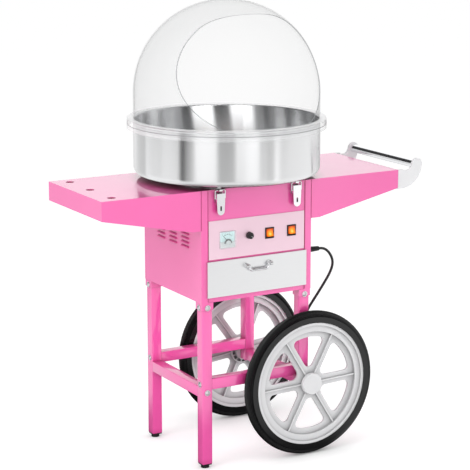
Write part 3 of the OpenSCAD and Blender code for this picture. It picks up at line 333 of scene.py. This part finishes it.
close_plan(wire, set_out(wire, size["Places"], screw, Rotation=turned), zinc)

bolt_head, hair = 0.0045, 0.0001
places, facing, bolts = [], [], []
for low, high in solids("frame_bolts"):
    middle, extent = (low + high) / 2, high - low
    along = min(range(3), key=lambda k: abs(extent[(k + 1) % 3] - extent[(k + 2) % 3]))
    if extent[along] > 2 * bolt_head:  # a bolt; the axle's washers are shorter
        outward = 1 if middle[along] > (cart_x, 0, 0)[along] else -1
        middle[along] = (high if outward > 0 else low)[along] - outward * bolt_head
        places.append(middle)
        facing.append([outward if k == along else 0 for k in range(3)])
        bolts.append((low, high))
grown("frame_bolt_heads", screw_plan, zinc, "cart", places,
      {"Head radius": 0.0070, "Head height": bolt_head, "Socket radius": 0.0028},
      facing=facing, nodes=["frame_bolts"])
shape = joined_shape("frame_bolts")
bmesh.ops.delete(shape, context="VERTS", geom=[v for v in shape.verts if any(
    all(low[k] - hair < v.co[k] < high[k] + hair for k in range(3)) for low, high in bolts)])
settle("axle_washers", shape, zinc, "cart")
for name in ("axle", "motor_mount"):
    rounded(name, zinc)
rounded("drive_shaft", zinc, "spinner")

# Back panel screws: small button screws in zinc-plated steel, with a hexagon socket.
# Three down each side hold the rear sheet to the posts, so that it comes off for repairs.
screw_x, screw_heights = 0.160, (0.492, 0.630, 0.768)
panel_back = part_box("back_panel")[1].y
places = [(cart_x + x, panel_back, z) for x in (-screw_x, screw_x) for z in screw_heights]
grown("back_panel_screws", screw_plan, zinc, "cart", places,
      {"Head radius": 0.0036, "Head height": 0.0022, "Socket radius": 0.0015}, facing=[(0, 1, 0)] * len(places))

# Joint lines and cone collars: fine beads in painted shade along the joints where the posts, the front and the
# trays meet, standing for the shadow in their thin gaps, and the short collar drawn down round each cone hole,
# dark crimson as painted shade.
def hoop(wire, sides, radius):
    return wire.node("GeometryNodeCurvePrimitiveCircle", None, {"Resolution": sides, "Radius": radius})


def swept(wire, path, section, capped=False):
    """A section in a tree, drawn along a path."""
    return wire.node("GeometryNodeCurveToMesh", None, {
        "Curve": path, "Profile Curve": section, "Fill Caps": capped})


# The beads' dark pink is painted shade, the shadow in the gaps at the joints.
shade_pink = powder_coat("shade_pink", rgb(168, 16, 96), rgb(150, 12, 84), gloss=0.5, peel=0.1, coat=0.2)
joint_plan, wire, size = plan("joint_bead", "Bead radius")
path = wire.node("GeometryNodeMeshToCurve", None, {"Mesh": size["Places"]})
close_plan(wire, swept(wire, path, hoop(wire, 8, size["Bead radius"]), capped=True), shade_pink)
cabinet_foot, drawer_foot, drawer_head, tray_foot = 0.477, 0.486, 0.590, 0.677
post_x, bead_drop = 0.1545, 0.0008
face_y, top_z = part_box("side_panel_left")[0].y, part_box("top_plate")[1].z - bead_drop
post_spans, tray_spans = ((cabinet_foot, drawer_foot), (drawer_head, top_z)), ((tray_foot, top_z),)
places = []
for x, spans in ((post_x, post_spans), (cabinet_half, tray_spans)):
    for side in (-1, 1):
        for low_z, high_z in spans:
            places += [(cart_x + side * x, face_y, low_z), (cart_x + side * x, face_y, high_z)]
beads = grown("joint_lines", joint_plan, shade_pink, "cart", places, {"Bead radius": 0.0009},
              lines=[(k, k + 1) for k in range(0, len(places), 2)])

# The collars' dark crimson is painted shade, the shadow inside each cone hole.
hole_shade_pink = powder_coat("hole_shade_pink", rgb(150, 8, 70), rgb(138, 6, 62), gloss=0.6, peel=0.1, coat=0.0)
collar_plan, wire, size = plan("cone_collar", "Collar radius", "Collar wall", "Collar depth")
wall = wire.node("GeometryNodeCurvePrimitiveQuadrilateral", None, {
    "Width": size["Collar wall"], "Height": size["Collar depth"]})
collar = swept(wire, hoop(wire, 40, size["Collar radius"]), wall)
close_plan(wire, set_out(wire, size["Places"], collar), hole_shade_pink)
hole_in, hole_pitch, sheet, collar_deep = 0.047, 0.130, 0.0015, 0.012
low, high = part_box("tray_left")
collars = grown("cone_collars", collar_plan, hole_shade_pink, "cart",
                [(low.x + hole_in, y, high.z - sheet - collar_deep / 2) for y in (-hole_pitch, 0, hole_pitch)],
                {"Collar radius": 0.0126, "Collar wall": 0.0010, "Collar depth": collar_deep})
beads.visible_glossy = collars.visible_glossy = False

# Wheels: six-spoke discs and caps moulded in light grey plastic.
# The moulding leaves a silky face with faint clouding; the caps press over the axle's ends.
# The dark grey crease colour is painted shade in the wheels' recesses, round the ribs, spokes and rim.
grey_plastic = moulded("grey_plastic", rgb(214, 214, 215), rgb(203, 203, 205), gloss=0.27, grain=700.0, depth=0.08,
                       crease_shade=rgb(92, 92, 94))
for side in ("front", "back"):
    rounded("wheel_" + side, grey_plastic, "wheel_" + side)
    rounded("hub_cap_" + side, grey_plastic, "wheel_" + side)

# Tyres: solid black rubber, stretched on the rims, with fine ribs running round the tread.
# Each is one section swept round the rim.
rubber, wire, at = bare_finish("rubber")
dust = wire.node("TexNoise", None, {"Vector": at, "Scale": 22.0, "Detail": 5.0})
pores = wire.node("TexNoise", None, {"Vector": at, "Scale": 700.0, "Detail": 2.0})
surfaced(rubber, wire, {
    "Base Color": mixed(wire, dust, rgb(10, 10, 11), rgb(16, 16, 17)), "Roughness": 0.17 + dust * 0.14,
    "Normal": wire.node("Bump", None, {"Height": pores, "Strength": 0.12, "Distance": 0.0003}),
})

upright = (math.pi / 2, 0, 0)
tyre_plan, wire, size = plan("ribbed_tyre", "Ring radius", "Hub X", "Hub Y", "Hub Z")
section = wire.node("GeometryNodeMeshToCurve", None, {"Mesh": size["Places"]})
tyre = swept(wire, hoop(wire, 180, size["Ring radius"]), section)
close_plan(wire, moved(wire, tyre, Rotation=upright, Translation=xyz(
    wire, size["Hub X"], size["Hub Y"], size["Hub Z"])), rubber)

tyre_half, rim_r, rim_gap = 0.018, 0.176, 0.00002
rib_step, rib_deep, rib_last, notches = 12, 0.0022, 80, {3: 0.35, 6: 1.0, 9: 0.35}
for side in ("front", "back"):
    low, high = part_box("tyre_" + side)
    hub = (low + high) / 2
    crown = (high.z - low.z) / 2 - tyre_half
    rim = rim_r + rim_gap - crown
    section = [(rim, -tyre_half, 0), (rim / 2, -tyre_half, 0)]
    for turn in range(-90, 91, 3):
        notch = notches.get(turn % rib_step, 0) if abs(turn) < rib_last else 0
        reach = tyre_half - rib_deep * notch
        section.append((reach * math.cos(math.radians(turn)), reach * math.sin(math.radians(turn)), 0))
    section += [(rim / 2, tyre_half, 0), (rim, tyre_half, 0)]
    grown("tyre_ribbed_" + side, tyre_plan, rubber, "wheel_" + side, section,
          {"Ring radius": crown, "Hub X": hub.x, "Hub Y": hub.y, "Hub Z": hub.z},
          lines=[(k, (k + 1) % len(section)) for k in range(len(section))], nodes=["tyre_" + side])

# Push bar: a straight length of polished steel tube between two white moulded brackets.
# Each bracket's foot is screwed to the tray's end, and polishing leaves faint lengthwise lines.
bright_steel = plated("bright_steel", rgb(244, 244, 246), rgb(228, 229, 232), gloss=0.07, streak=40.0, depth=0.02,
                      stretch=(30.0, 1.0, 30.0))
white_plastic = moulded("white_plastic", rgb(233, 233, 234), rgb(224, 224, 226),
                        gloss=0.36, grain=700.0, depth=0.06)
rounded("push_bar", bright_steel)
rounded("handle_brackets", white_plastic)
foot_t, bracket_y, foot_screws = 0.004, 0.151, (0.747, 0.771)
foot_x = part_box("handle_brackets")[0].x + foot_t
places = [(foot_x, y, z) for y in (-bracket_y, bracket_y) for z in foot_screws]
grown("bracket_screws", screw_plan, zinc, "cart", places,
      {"Head radius": 0.0042, "Head height": 0.0026, "Socket radius": 0.0018}, facing=[(1, 0, 0)] * len(places))

# Control panel: a plain plate of steel in pale silver-pink enamel.
# It lies on the front panel, and carries the meter, the knob and the two switches.
pale_coat = powder_coat("pale_coat", rgb(233, 200, 214), rgb(226, 193, 207), gloss=0.36, peel=0.05, coat=0.4)
dress(pale_coat, "control_panel")

# Meter: a pale moulded body, a printed card and a clear cap pressed over them.
# A thin black needle swings over the card's scale, and a pale cover in a dark ring hides its coil.
meter_shell = moulded("meter_shell", rgb(214, 219, 220), rgb(204, 210, 211), gloss=0.4)
card = moulded("card", rgb(214, 243, 243), rgb(203, 236, 237), gloss=0.5, grain=500.0, depth=0.03)
ink = moulded("ink", rgb(36, 44, 50), rgb(28, 34, 40), gloss=0.6, grain=1500.0, depth=0.02)
rounded("meter_housing", meter_shell)
dress(card, "meter_dial")
rounded("meter_needle", black_plastic, "meter_needle")

pivot_z, scale_r, number_r, number_h, scale_from, scale_sweep = 0.640, 0.0195, 0.0236, 0.0038, 50, 80
mark_l, mark_w, line_w, ink_t = 0.0022, 0.0005, 0.0004, 0.0001
low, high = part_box("meter_dial")
pivot = Vector(((low.x + high.x) / 2, low.y, pivot_z))
scale_plan, wire, size = plan("dial_scale", "Radius", "Mark length", "Mark width", "Pivot X", "Face Y", "Pivot Z")
arc = wire.node("GeometryNodeCurveArc", {"mode": "RADIUS"}, {
    "Resolution": 21, "Radius": size["Radius"],
    "Start Angle": math.radians(scale_from), "Sweep Angle": math.radians(scale_sweep)})
marks = wire.node("GeometryNodeCurveToPoints", {"mode": "EVALUATED"}, {"Curve": arc})
out_way = wire.node("FunctionNodeAlignRotationToVector", {"axis": "X"}, {
    "Vector": wire.node("GeometryNodeInputPosition")})
fifth = wire.maths("COMPARE", wire.maths("MODULO", wire.node("GeometryNodeInputIndex"), 5.0), 0.0)
mark = wire.node("GeometryNodeMeshCube", None, {
    "Size": xyz(wire, size["Mark length"], size["Mark width"], ink_t)}, out="Mesh")
marks = set_out(wire, marks, mark, Rotation=out_way, Scale=xyz(wire, 1.0 + fifth, 1.0 + 0.5 * fifth, 1.0))
line = swept(wire, arc, wire.node("GeometryNodeCurvePrimitiveQuadrilateral", None, {
    "Width": line_w, "Height": ink_t}), capped=True)
scale = wire.node("GeometryNodeJoinGeometry", None, {"Geometry": [marks, line]})
close_plan(wire, moved(wire, scale, Rotation=upright, Translation=xyz(
    wire, size["Pivot X"], size["Face Y"], size["Pivot Z"])), ink)
grown("dial_scale", scale_plan, ink, "cart", [(0, 0, 0)], {
    "Radius": scale_r, "Mark length": mark_l, "Mark width": mark_w,
    "Pivot X": pivot.x, "Face Y": pivot.y, "Pivot Z": pivot.z})

shape = bmesh.new()
for number, turn in (("0", 130), ("5", 103.3), ("10", 76.7), ("15", 50)):
    text = bpy.data.curves.new("dial_number", "FONT")
    text.body, text.size, text.extrude = number, number_h, ink_t / 2
    text.align_x = text.align_y = "CENTER"
    mesh = plain_mesh(put("dial_number", text))
    out = number_r * Vector((math.cos(math.radians(turn)), 0, math.sin(math.radians(turn))))
    mesh.transform(Matrix.Translation(pivot + out) @ Matrix.Rotation(math.pi / 2, 4, "X"))
    shape.from_mesh(mesh)
settle("dial_numbers", shape, ink, "cart")


def half_disc(name, material, middle, profile, segments=48):
    """The upper half of a round cover, turned about a line along Y from a profile of (radius, depth)."""
    shape = bmesh.new()
    turns = [2 * math.pi * k / segments for k in range(segments)]
    rings = [[shape.verts.new(middle + Vector((r * math.cos(a), y, r * math.sin(a)))) for a in turns]
             for r, y in profile]
    for one, other in zip(rings, rings[1:]):
        for k in range(segments):
            n = (k + 1) % segments
            shape.faces.new((one[k], one[n], other[n], other[k]))
    shape.faces.new(rings[0])
    shape.faces.new(rings[-1])
    bmesh.ops.bisect_plane(shape, geom=shape.verts[:] + shape.edges[:] + shape.faces[:],
                           plane_co=middle, plane_no=(0, 0, -1), clear_outer=True)
    bmesh.ops.holes_fill(shape, edges=[e for e in shape.edges if e.is_boundary])
    bmesh.ops.recalc_face_normals(shape, faces=shape.faces)
    settle(name, shape, material, "cart")


coil_front, coil_drop = 0.0042, 0.0045
coil_at = pivot + Vector((0, -coil_front, -coil_drop))
ring_dark = moulded("coil_ring", rgb(40, 44, 48), rgb(32, 36, 40), gloss=0.35)
cover_pale = moulded("coil_cover", rgb(206, 212, 213), rgb(194, 200, 202), gloss=0.35)
half_disc("meter_coil_ring", ring_dark, coil_at, [(0.0122, 0.0), (0.0122, -0.0006), (0.0113, -0.0010)])
half_disc("meter_coil_cover", cover_pale, coil_at,
          [(0.0080, -0.0008), (0.0080, -0.0014), (0.0072, -0.0020), (0.0034, -0.0022)])


def clear_moulding(name, colour, tint, face, middle, edge, gloss):
    """Clear sheet: hardly seen straight on, and closing up where it is seen edge-on."""
    material, wire, at = bare_finish(name)
    haze = wire.node("TexNoise", None, {"Vector": at, "Scale": 5.0, "Detail": 2.0})
    rim = wire.node("LayerWeight", None, {"Blend": 0.5}, out="Facing")
    return surfaced(material, wire, {
        "Base Color": mixed(wire, haze, colour, tint), "Roughness": gloss + haze * 0.02,
        "Alpha": face + middle * rim + edge * rim ** 14.0,
    })


meter_clear = clear_moulding("meter_clear", rgb(226, 236, 236), rgb(236, 237, 238),
                             face=0.10, middle=0.1, edge=0.4, gloss=0.05)
rounded("meter_lens", meter_clear)

# Knob: black moulded plastic with finger grooves, pressed on the regulator's shaft.
# A white pointer line is let into its face.
def small_bar(name, material, body, place, sizes, ease, steps):
    """A little bar with eased edges."""
    shape = bmesh.new()
    bmesh.ops.create_cube(shape, size=1.0, matrix=place @ Matrix.Diagonal((*sizes, 1)))
    bmesh.ops.bevel(shape, geom=shape.edges, offset=ease, segments=steps, affect="EDGES")
    settle(name, shape, material, body)


rounded("power_knob", black_plastic, "power_knob")
low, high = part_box("power_knob")
middle = (low + high) / 2
pointer_turn, pointer_out = math.radians(-45), 0.0050
pointer_at = (Matrix.Translation((middle.x, low.y, middle.z)) @ Matrix.Rotation(pointer_turn, 4, "Y")
              @ Matrix.Translation((0, 0, -pointer_out)))
small_bar("knob_pointer", white_plastic, "power_knob", pointer_at, (0.0010, 0.0002, 0.0056), ease=0.00008, steps=1)

# Rockers: clear orange plastic, lit from inside by a small lamp, brightest in the middle.
# Each tips on two pins in its black housing, which snaps into the control panel.
glow_reach, glow_drop = 0.020, 0.003


def lit_rocker(name, middle):
    material, wire, at = bare_finish(name)
    away = wire.node("VectorMath", {"operation": "DISTANCE"}, {0: at, 1: middle}, out="Value")
    glow = wire.node("ValToRGB", {"stops": [
        (0.0, rgb(255, 214, 120)), (0.30, rgb(250, 140, 30)), (0.62, rgb(190, 70, 12)), (1.0, rgb(90, 30, 8)),
    ]}, {0: away / glow_reach})
    return surfaced(material, wire, {
        "Base Color": glow, "Roughness": 0.16 + away * 4.0, "Emission Color": glow, "Emission Strength": 0.55,
    })


for name in ("heat_rocker", "motor_rocker"):
    low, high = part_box(name)
    dress(lit_rocker(name + "_orange", ((low.x + high.x) / 2, low.y, (low.z + high.z) / 2 - glow_drop)), name)

# Latches: pressed levers, wire bails and bases in bright plating, and the hooks under the bowl.
# The bases are fixed to the cabinet's front, and a small black bar behind each lever's slot is painted shade, the
# dark seen through the slot.
slot_shade_in, slot_shade_up, slot_shade_sizes = 0.0016, 0.0165, (0.0056, 0.0022, 0.0120)
for name in ("latch_bases", "bowl_hooks"):
    rounded(name, bright_steel)
for side in ("left", "right"):
    lever = "latch_lever_" + side
    rounded(lever, bright_steel, lever)
    rounded("latch_bail_" + side, bright_steel, "latch_bail_" + side)
    low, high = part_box(lever)
    # The black bar in the slot is painted shade.
    slot_shade_at = Matrix.Translation(((low.x + high.x) / 2, low.y + slot_shade_in, low.z + slot_shade_up))
    small_bar("lever_stop_" + side, black_plastic, lever, slot_shade_at, slot_shade_sizes, ease=0.0004, steps=2)

# Drive and spinning head: an enamelled motor, copper slip rings, a cast aluminium pan and cover,
# and a slotted heater band between them. The motor hangs under the top plate on its mount,
# and its shaft carries the head up in the bowl.
motor_coat = powder_coat("motor_coat", rgb(92, 98, 104), rgb(80, 86, 92), gloss=0.4, peel=0.15, coat=0.4)
copper = plated("copper", rgb(205, 140, 95), rgb(170, 108, 70), gloss=0.25)
cast_alloy = plated("cast_alloy", rgb(214, 215, 217), rgb(190, 191, 194), gloss=0.34, streak=90.0, depth=0.08)
rounded("motor", motor_coat)
rounded("slip_ring", copper, "spinner")
rounded("heater_band", copper, "spinner")
rounded("spinner_pan", cast_alloy, "spinner")
rounded("spinner_cover", cast_alloy, "spinner")

# Bowl: one sheet of stainless steel, spun to shape and polished inside and out.
# Spinning leaves fine lines round the wall, which draw reflections out into upright bands.
# The flat floor inside it is left dull, and the downward faces near its foot are a dark brownish pink: painted
# shade with a painted reflection of the shaded tray.
bowl_steel = plated("bowl_steel", rgb(243, 243, 244), rgb(236, 237, 238), gloss=0.18, streak=20.0, depth=0.0,
                    stretch=(1.0, 1.0, 60.0), spun=1.0)
bowl_floor = plated("bowl_floor", rgb(186, 187, 189), rgb(172, 173, 176), gloss=0.42, streak=20.0, depth=0.02)
# The underside's dark brownish pink is painted shade and a painted reflection of the shaded pink tray.
bowl_under_shade = plated("bowl_under_shade", rgb(80, 71, 71), rgb(64, 57, 57), gloss=0.40, streak=20.0, depth=0.02)
floor_r, floor_rise, floor_tilt, under_tilt = 0.23, 0.03, 0.7, -0.85
shape = joined_shape("bowl")
floor_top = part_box("bowl")[0].z + floor_rise
for face in shape.faces:
    at = face.calc_center_median()
    inside = face.normal.z > floor_tilt and math.hypot(at.x - cart_x, at.y) < floor_r and at.z < floor_top
    shade_beneath = face.normal.z < under_tilt and at.z < floor_top
    face.material_index = 2 if shade_beneath else 1 if inside else 0
settle("bowl_spun", shape, [bowl_steel, bowl_floor, bowl_under_shade], "cart", "bowl")

# Dome: clear acrylic blown to a hood, with its mouth cut out and a skirt round the bowl's rim.
# The cut edge is sawn and looks grey; the folded skirt is milky, its level top whiter as a painted highlight, and
# a grey line round it is painted shade of the bowl's rolled rim seen through it.
clear_dome = clear_moulding("clear_dome", rgb(140, 142, 144), rgb(160, 162, 164),
                            face=0.026, middle=0.065, edge=0.9, gloss=0.03)
sawn_edge = clear_moulding("sawn_edge", rgb(128, 130, 132), rgb(142, 144, 146),
                           face=0.60, middle=0.1, edge=0.1, gloss=0.3)
milky_skirt = clear_moulding("milky_skirt", rgb(246, 247, 248), rgb(238, 239, 240),
                             face=0.10, middle=0.20, edge=0.5, gloss=0.06)
# The level top is milky and whiter than the skirt: a painted highlight.
milky_flange_highlight = clear_moulding("milky_flange_highlight", rgb(252, 252, 253), rgb(246, 247, 248),
                              face=0.45, middle=0.10, edge=0.3, gloss=0.06)
hood_r, hood_wall, flange_t = 0.2605, 0.070, 0.003
skirt_gap, level_face, sawn_face = 0.001, 0.9, 0.6
shape = joined_shape("dome")
low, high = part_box("dome")
flange_z = high.z - hood_r - hood_wall + flange_t
for face in shape.faces:
    at = face.calc_center_median()
    reach = max(math.hypot(v.co.x - cart_x, v.co.y) for v in face.verts)
    outward = Vector((at.x - cart_x, at.y, max(at.z - (high.z - hood_r), 0))).normalized()
    if reach > hood_r + skirt_gap or at.z < flange_z:
        face.material_index = 3 if face.normal.z > level_face else 2
    else:
        face.material_index = 1 if face.normal.dot(outward) ** 2 < sawn_face else 0
settle("dome_blown", shape, [clear_dome, sawn_edge, milky_skirt, milky_flange_highlight], "dome", "dome")

# A grey line round the skirt: painted shade of the bowl's rolled rim, seen through the clear skirt.
rim_shade_grey = clear_moulding("rim_shade_grey", rgb(150, 151, 153), rgb(136, 138, 140),
                           face=0.50, middle=0.1, edge=0.1, gloss=0.2)
rim_shade_plan, wire, size = plan("skirt_fold", "Shade ring radius", "Line radius")
fold = swept(wire, hoop(wire, 160, size["Shade ring radius"]), hoop(wire, 8, size["Line radius"]))
close_plan(wire, set_out(wire, size["Places"], fold), rim_shade_grey)
shade_line_up = 0.0125
grown("skirt_fold", rim_shade_plan, rim_shade_grey, "dome", [(cart_x, 0, low.z + shade_line_up)],
      {"Shade ring radius": 0.2777, "Line radius": 0.0011})

# Drawer: a folded box and a brushed stainless front, spot-welded together, on two runners.
# A plated drop handle hangs in two eyes on the front.
drawer_steel = plated("drawer_steel", rgb(246, 246, 247), rgb(236, 237, 238), gloss=0.28, streak=30.0, depth=0.05,
                      stretch=(1.0, 1.0, 40.0))
for name in ("drawer_tray", "drawer_front"):
    rounded(name, drawer_steel, "drawer")
rounded("drawer_bail", bright_steel, "drawer_bail")

# Mains lead: a black flexible lead, 7.5 mm thick, from the gland down behind the front leg.
# Its spare length lies on the floor in a flat coil with a tie round it, beside the plug.
lead_r = 0.00375
lead_route = [Vector(p) / 1000 for p in (
    (218, -140, 579), (234, -140, 577), (250, -138, 568), (265, -134, 551), (274, -129, 532),
    (274, -125, 513), (266, -121, 491), (254, -116, 468), (238, -110, 440), (222, -104, 413),
    (210, -98, 388), (204, -92, 350), (206, -84, 305), (211, -75, 260), (215, -67, 215),
    (217, -60, 172), (215, -55, 135), (208, -51, 104), (199, -49, 76), (189, -49, 50),
    (180, -52, 29), (172, -58, 13), (164, -65, 6), (157, -74, 4),
)]
coil_r, coil_pitch, coil_layer, coil_turn, coil_end = 0.0495, 0.0086, 0.0082, 1620, 0.024
heading = math.radians(240)
coil_in = Vector((math.cos(heading), math.sin(heading), 0))


def lead_line():
    """The lead's middle line, a smooth curve through the route and then the coil, and the coil's middle."""
    ends = [2 * lead_route[0] - lead_route[1]] + lead_route + [2 * lead_route[-1] - lead_route[-2]]
    line = []
    for a, b, c, d in zip(ends, ends[1:], ends[2:], ends[3:]):
        for t in (0, 0.25, 0.5, 0.75):
            line.append((2 * b + (c - a) * t + (2 * a - 5 * b + 4 * c - d) * t ** 2
                         + (3 * b - a - 3 * c + d) * t ** 3) / 2)
    start = lead_route[-1] + 2 * lead_r * coil_in
    middle = start + coil_r * Vector((-coil_in.y, coil_in.x, 0))
    line.append(lead_route[-1])
    for turn in range(0, coil_turn + 1, 5):
        r = coil_r - coil_pitch / 360 * min(turn, coil_turn - turn)
        climb = min(max(turn - (coil_turn - 180) / 2, 0), 180)
        rise = coil_layer * (1 - math.cos(math.radians(climb))) / 2
        a = heading - math.pi / 2 + math.radians(turn)
        line.append(middle + Vector((r * math.cos(a), r * math.sin(a), rise)))
    line.append(line[-1] + coil_end * Vector((-math.sin(a), math.cos(a), 0)))
    return [p + Vector((cart_x, 0, 0)) for p in line], middle + Vector((cart_x, 0, 0))


lead_points, coil_middle = lead_line()
lead_curve = bpy.data.curves.new("mains_lead", "CURVE")
lead_curve.dimensions = "3D"
lead_curve.bevel_depth, lead_curve.bevel_resolution, lead_curve.use_fill_caps = lead_r, 4, True
lead_run = lead_curve.splines.new("POLY")
lead_run.points.add(len(lead_points) - 1)
for point, place in zip(lead_run.points, lead_points):
    point.co = (*place, 1.0)
lead_sheath = moulded("lead_sheath", rgb(30, 30, 31), rgb(22, 22, 23), gloss=0.5, grain=1200.0, depth=0.08)
lead_curve.materials.append(lead_sheath)
lead = put("mains_lead", lead_curve)
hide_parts("power_cord", "cord_coil")
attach(lead, "cart")
lead_length = sum((b - a).length for a, b in zip(lead_points, lead_points[1:]))

# Coil tie: a flat strap of black plastic that comes with the lead.
# It is looped once round the coil's turns and pulled snug.
tie_at = math.radians(100)
tie_out = Vector((math.cos(tie_at), math.sin(tie_at), 0))
tie_along = Vector((-math.sin(tie_at), math.cos(tie_at), 0))
tie_w, tie_t, tie_low, tie_high = 0.009, 0.0009, 0.0002, 0.0166
tie_in, tie_far, tie_bend = coil_r - 2 * coil_pitch - 2 * lead_r, coil_r + 1.2 * lead_r, 0.0035
tie_corners = ((tie_far, tie_high), (tie_in, tie_high), (tie_in, tie_low), (tie_far, tie_low))
shape = bmesh.new()
rings = []
for grow in (0.0, tie_t):
    loop = []
    for corner, (u, v) in enumerate(tie_corners):
        u_mid = u + (-tie_bend if u == tie_far else tie_bend)
        v_mid = v + (-tie_bend if v == tie_high else tie_bend)
        for turn in range(0, 91, 15):
            a = math.radians(90 * corner + turn)
            loop.append((u_mid + (tie_bend - grow) * math.cos(a), v_mid + (tie_bend - grow) * math.sin(a)))
    for half in (-tie_w / 2, tie_w / 2):
        edge_at = coil_middle + tie_along * half
        rings.append([shape.verts.new(edge_at + tie_out * u + Vector((0, 0, v - coil_middle.z))) for u, v in loop])
for one, other in ((0, 1), (1, 3), (3, 2), (2, 0)):
    for k in range(len(rings[0])):
        n = (k + 1) % len(rings[0])
        shape.faces.new((rings[one][k], rings[one][n], rings[other][n], rings[other][k]))
bmesh.ops.recalc_face_normals(shape, faces=shape.faces)
settle("coil_tie", shape, dark_plastic, "cart")

# Studio: a white floor that keeps a soft shadow, a white room with grey strips that bright metal
# mirrors, broad lamps above and in front, and the camera where the photograph was taken.
def grey(level):
    return (level, level, level, 1)


def strips(wire, away, greys):
    """Greys by bearing in degrees round the bowl's axis, seen along a direction or at a place."""
    behind = wire.node("VectorMath", {"operation": "SCALE"}, {0: away, "Scale": -1.0})
    bearing = wire.node("TexGradient", {"gradient_type": "RADIAL"}, {"Vector": behind}, out="Fac")
    return wire.node("ValToRGB", {"stops": [(turn / 360, grey(level)) for turn, level in greys]}, {0: bearing})


def seen_straight(wire):
    """1 for what the camera sees, also through the dome, and 0 for light and mirror rays."""
    rays = wire.node("LightPath", out="Is Camera Ray") + wire.node("LightPath", out="Is Transmission Ray")
    return wire.maths("MINIMUM", rays, 1.0)


floor_half, shadow_reach, floor_lift, under_reach = 60, 0.16, 0.64, 2.0
floor_mesh = bpy.data.meshes.new("floor")
floor_mesh.from_pydata([(-floor_half, -floor_half, 0), (floor_half, -floor_half, 0), (floor_half, floor_half, 0),
                        (-floor_half, floor_half, 0)], [], [(0, 1, 2, 3)])
floor = put("floor", floor_mesh)
floor_white, wire, at = bare_finish("floor_white")
ground = wire.node("BsdfDiffuse", None, {"Color": grey(0.58)})
# Near the pieces ambient occlusion dims the white lift: a painted soft shadow on the floor.
open_sky = wire.node("AmbientOcclusion", {"samples": 16}, {"Distance": shadow_reach}, out="AO")
lift = wire.node("Emission", None, {"Color": grey(1), "Strength": seen_straight(wire) * open_sky * floor_lift})
away = wire.node("VectorMath", {"operation": "SUBTRACT"}, {0: at, 1: (cart_x, 0, 0)})
mirrored = strips(wire, away, [
    (0, 0.97), (22, 0.86), (34, 0.58), (60, 0.5), (72, 0.75), (90, 0.85), (108, 0.76), (114, 0.74), (122, 0.74),
    (127, 1.08), (138, 1.0), (180, 1.0), (185, 0.06), (188, 0.08), (191, 0.33), (199, 0.66), (205, 0.86),
    (226, 0.84), (231, 0.60), (250, 0.68), (258, 0.62), (263, 0.74), (267, 0.86), (287, 0.98), (291, 0.84),
    (295, 0.84), (299, 1.0), (303, 1.3), (305, 1.2), (310, 0.92), (359, 0.98),
])
reach = wire.node("VectorMath", {"operation": "LENGTH"}, {0: away}, out="Value")
# Seen in mirrors, the floor near the cart is dark: painted shade under the cart.
mirrored_cart_shade = wire.node("ValToRGB", {"stops": [
    (0, grey(0.04)), (0.18, grey(0.10)), (0.28, grey(0.9)), (1, grey(1.15)),
]}, {0: reach / under_reach})
far = wire.node("MapRange", None, {"Value": reach, "From Min": 1.2, "From Max": 1.9})
mirrored = wire.node("Emission", None, {"Color": mixed(wire, far, mirrored_cart_shade, mirrored), "Strength": 1.0})
wire.node("OutputMaterial", None, {"Surface": wire.node("MixShader", None, {
    0: wire.node("LightPath", out="Is Glossy Ray"),
    1: wire.node("AddShader", None, {0: ground, 1: lift}), 2: mirrored})})
floor_mesh.materials.append(floor_white)

world = bpy.data.worlds.new("studio")
bpy.context.scene.world = world
world.use_nodes = True
world.node_tree.nodes.clear()
wire = Wire(world.node_tree)
mirrored = strips(wire, wire.node("TexCoord", out="Generated"), [
    (0, 0.8), (24, 0.8), (30, 1.2), (95, 1.2), (101, 0.06), (125, 0.04), (154, 0.04), (158, 0.4), (169, 0.4),
    (172, 0.2), (179, 0.2), (181, 0.04), (186, 0.04), (188, 0.25), (198, 0.4), (203, 1.9), (227, 1.8),
    (231, 0.05), (240, 0.02), (249, 0.05), (253, 1.9), (279, 1.9), (282, 0.04), (297, 0.05), (302, 0.35),
    (318, 0.35), (324, 0.7), (359, 0.8),
])
level = mixed(wire, wire.node("LightPath", out="Is Glossy Ray"), grey(0.62), mirrored)
room = mixed(wire, seen_straight(wire), level, grey(1))
wire.node("OutputWorld", None, {"Surface": wire.node("Background", None, {"Color": room, "Strength": 1.0})})


def lamp(name, place, aim, size, power, spread=180):
    light = bpy.data.lights.new(name, "AREA")
    light.shape, light.size, light.energy, light.spread = "DISK", size, power, math.radians(spread)
    turn = (Vector(place) - Vector(aim)).to_track_quat("Z", "Y")
    holder = put(name, light)
    holder.matrix_world = Matrix.Translation(place) @ turn.to_matrix().to_4x4()
    holder.visible_glossy = False


lamp("overhead", (-0.6, -0.9, 3.6), aim=(0, 0, 0.6), size=2.6, power=16)
lamp("front_fill", (-1.4, -3.6, 0.8), aim=(0, 0, 0.6), size=2.4, power=73)
lamp("side_fill", (-3.6, -0.4, 0.8), aim=(0, 0, 0.6), size=2.0, power=34)
lamp("side_high", (-3.0, -0.8, 2.2), aim=(0, 0, 0.8), size=1.6, power=24)
lamp("right_low", (2.2, -0.75, 0.3), aim=(0.11, 0.19, 0.22), size=0.8, power=2.2, spread=30)

camera_place, camera_down, camera_left = (-2.3194 + cart_x, -4.0509, 1.6461), 11.56, 30.08
camera = bpy.data.cameras.new("camera")
camera.lens, camera.sensor_width, camera.shift_y, camera.clip_end = 129.3, 36.0, -0.0564, 60
view = put("camera", camera)
view.location = camera_place
view.rotation_euler = (math.radians(90 - camera_down), 0, math.radians(-camera_left))
bpy.context.scene.camera = view
bpy.context.scene.view_settings.view_transform = "Standard"
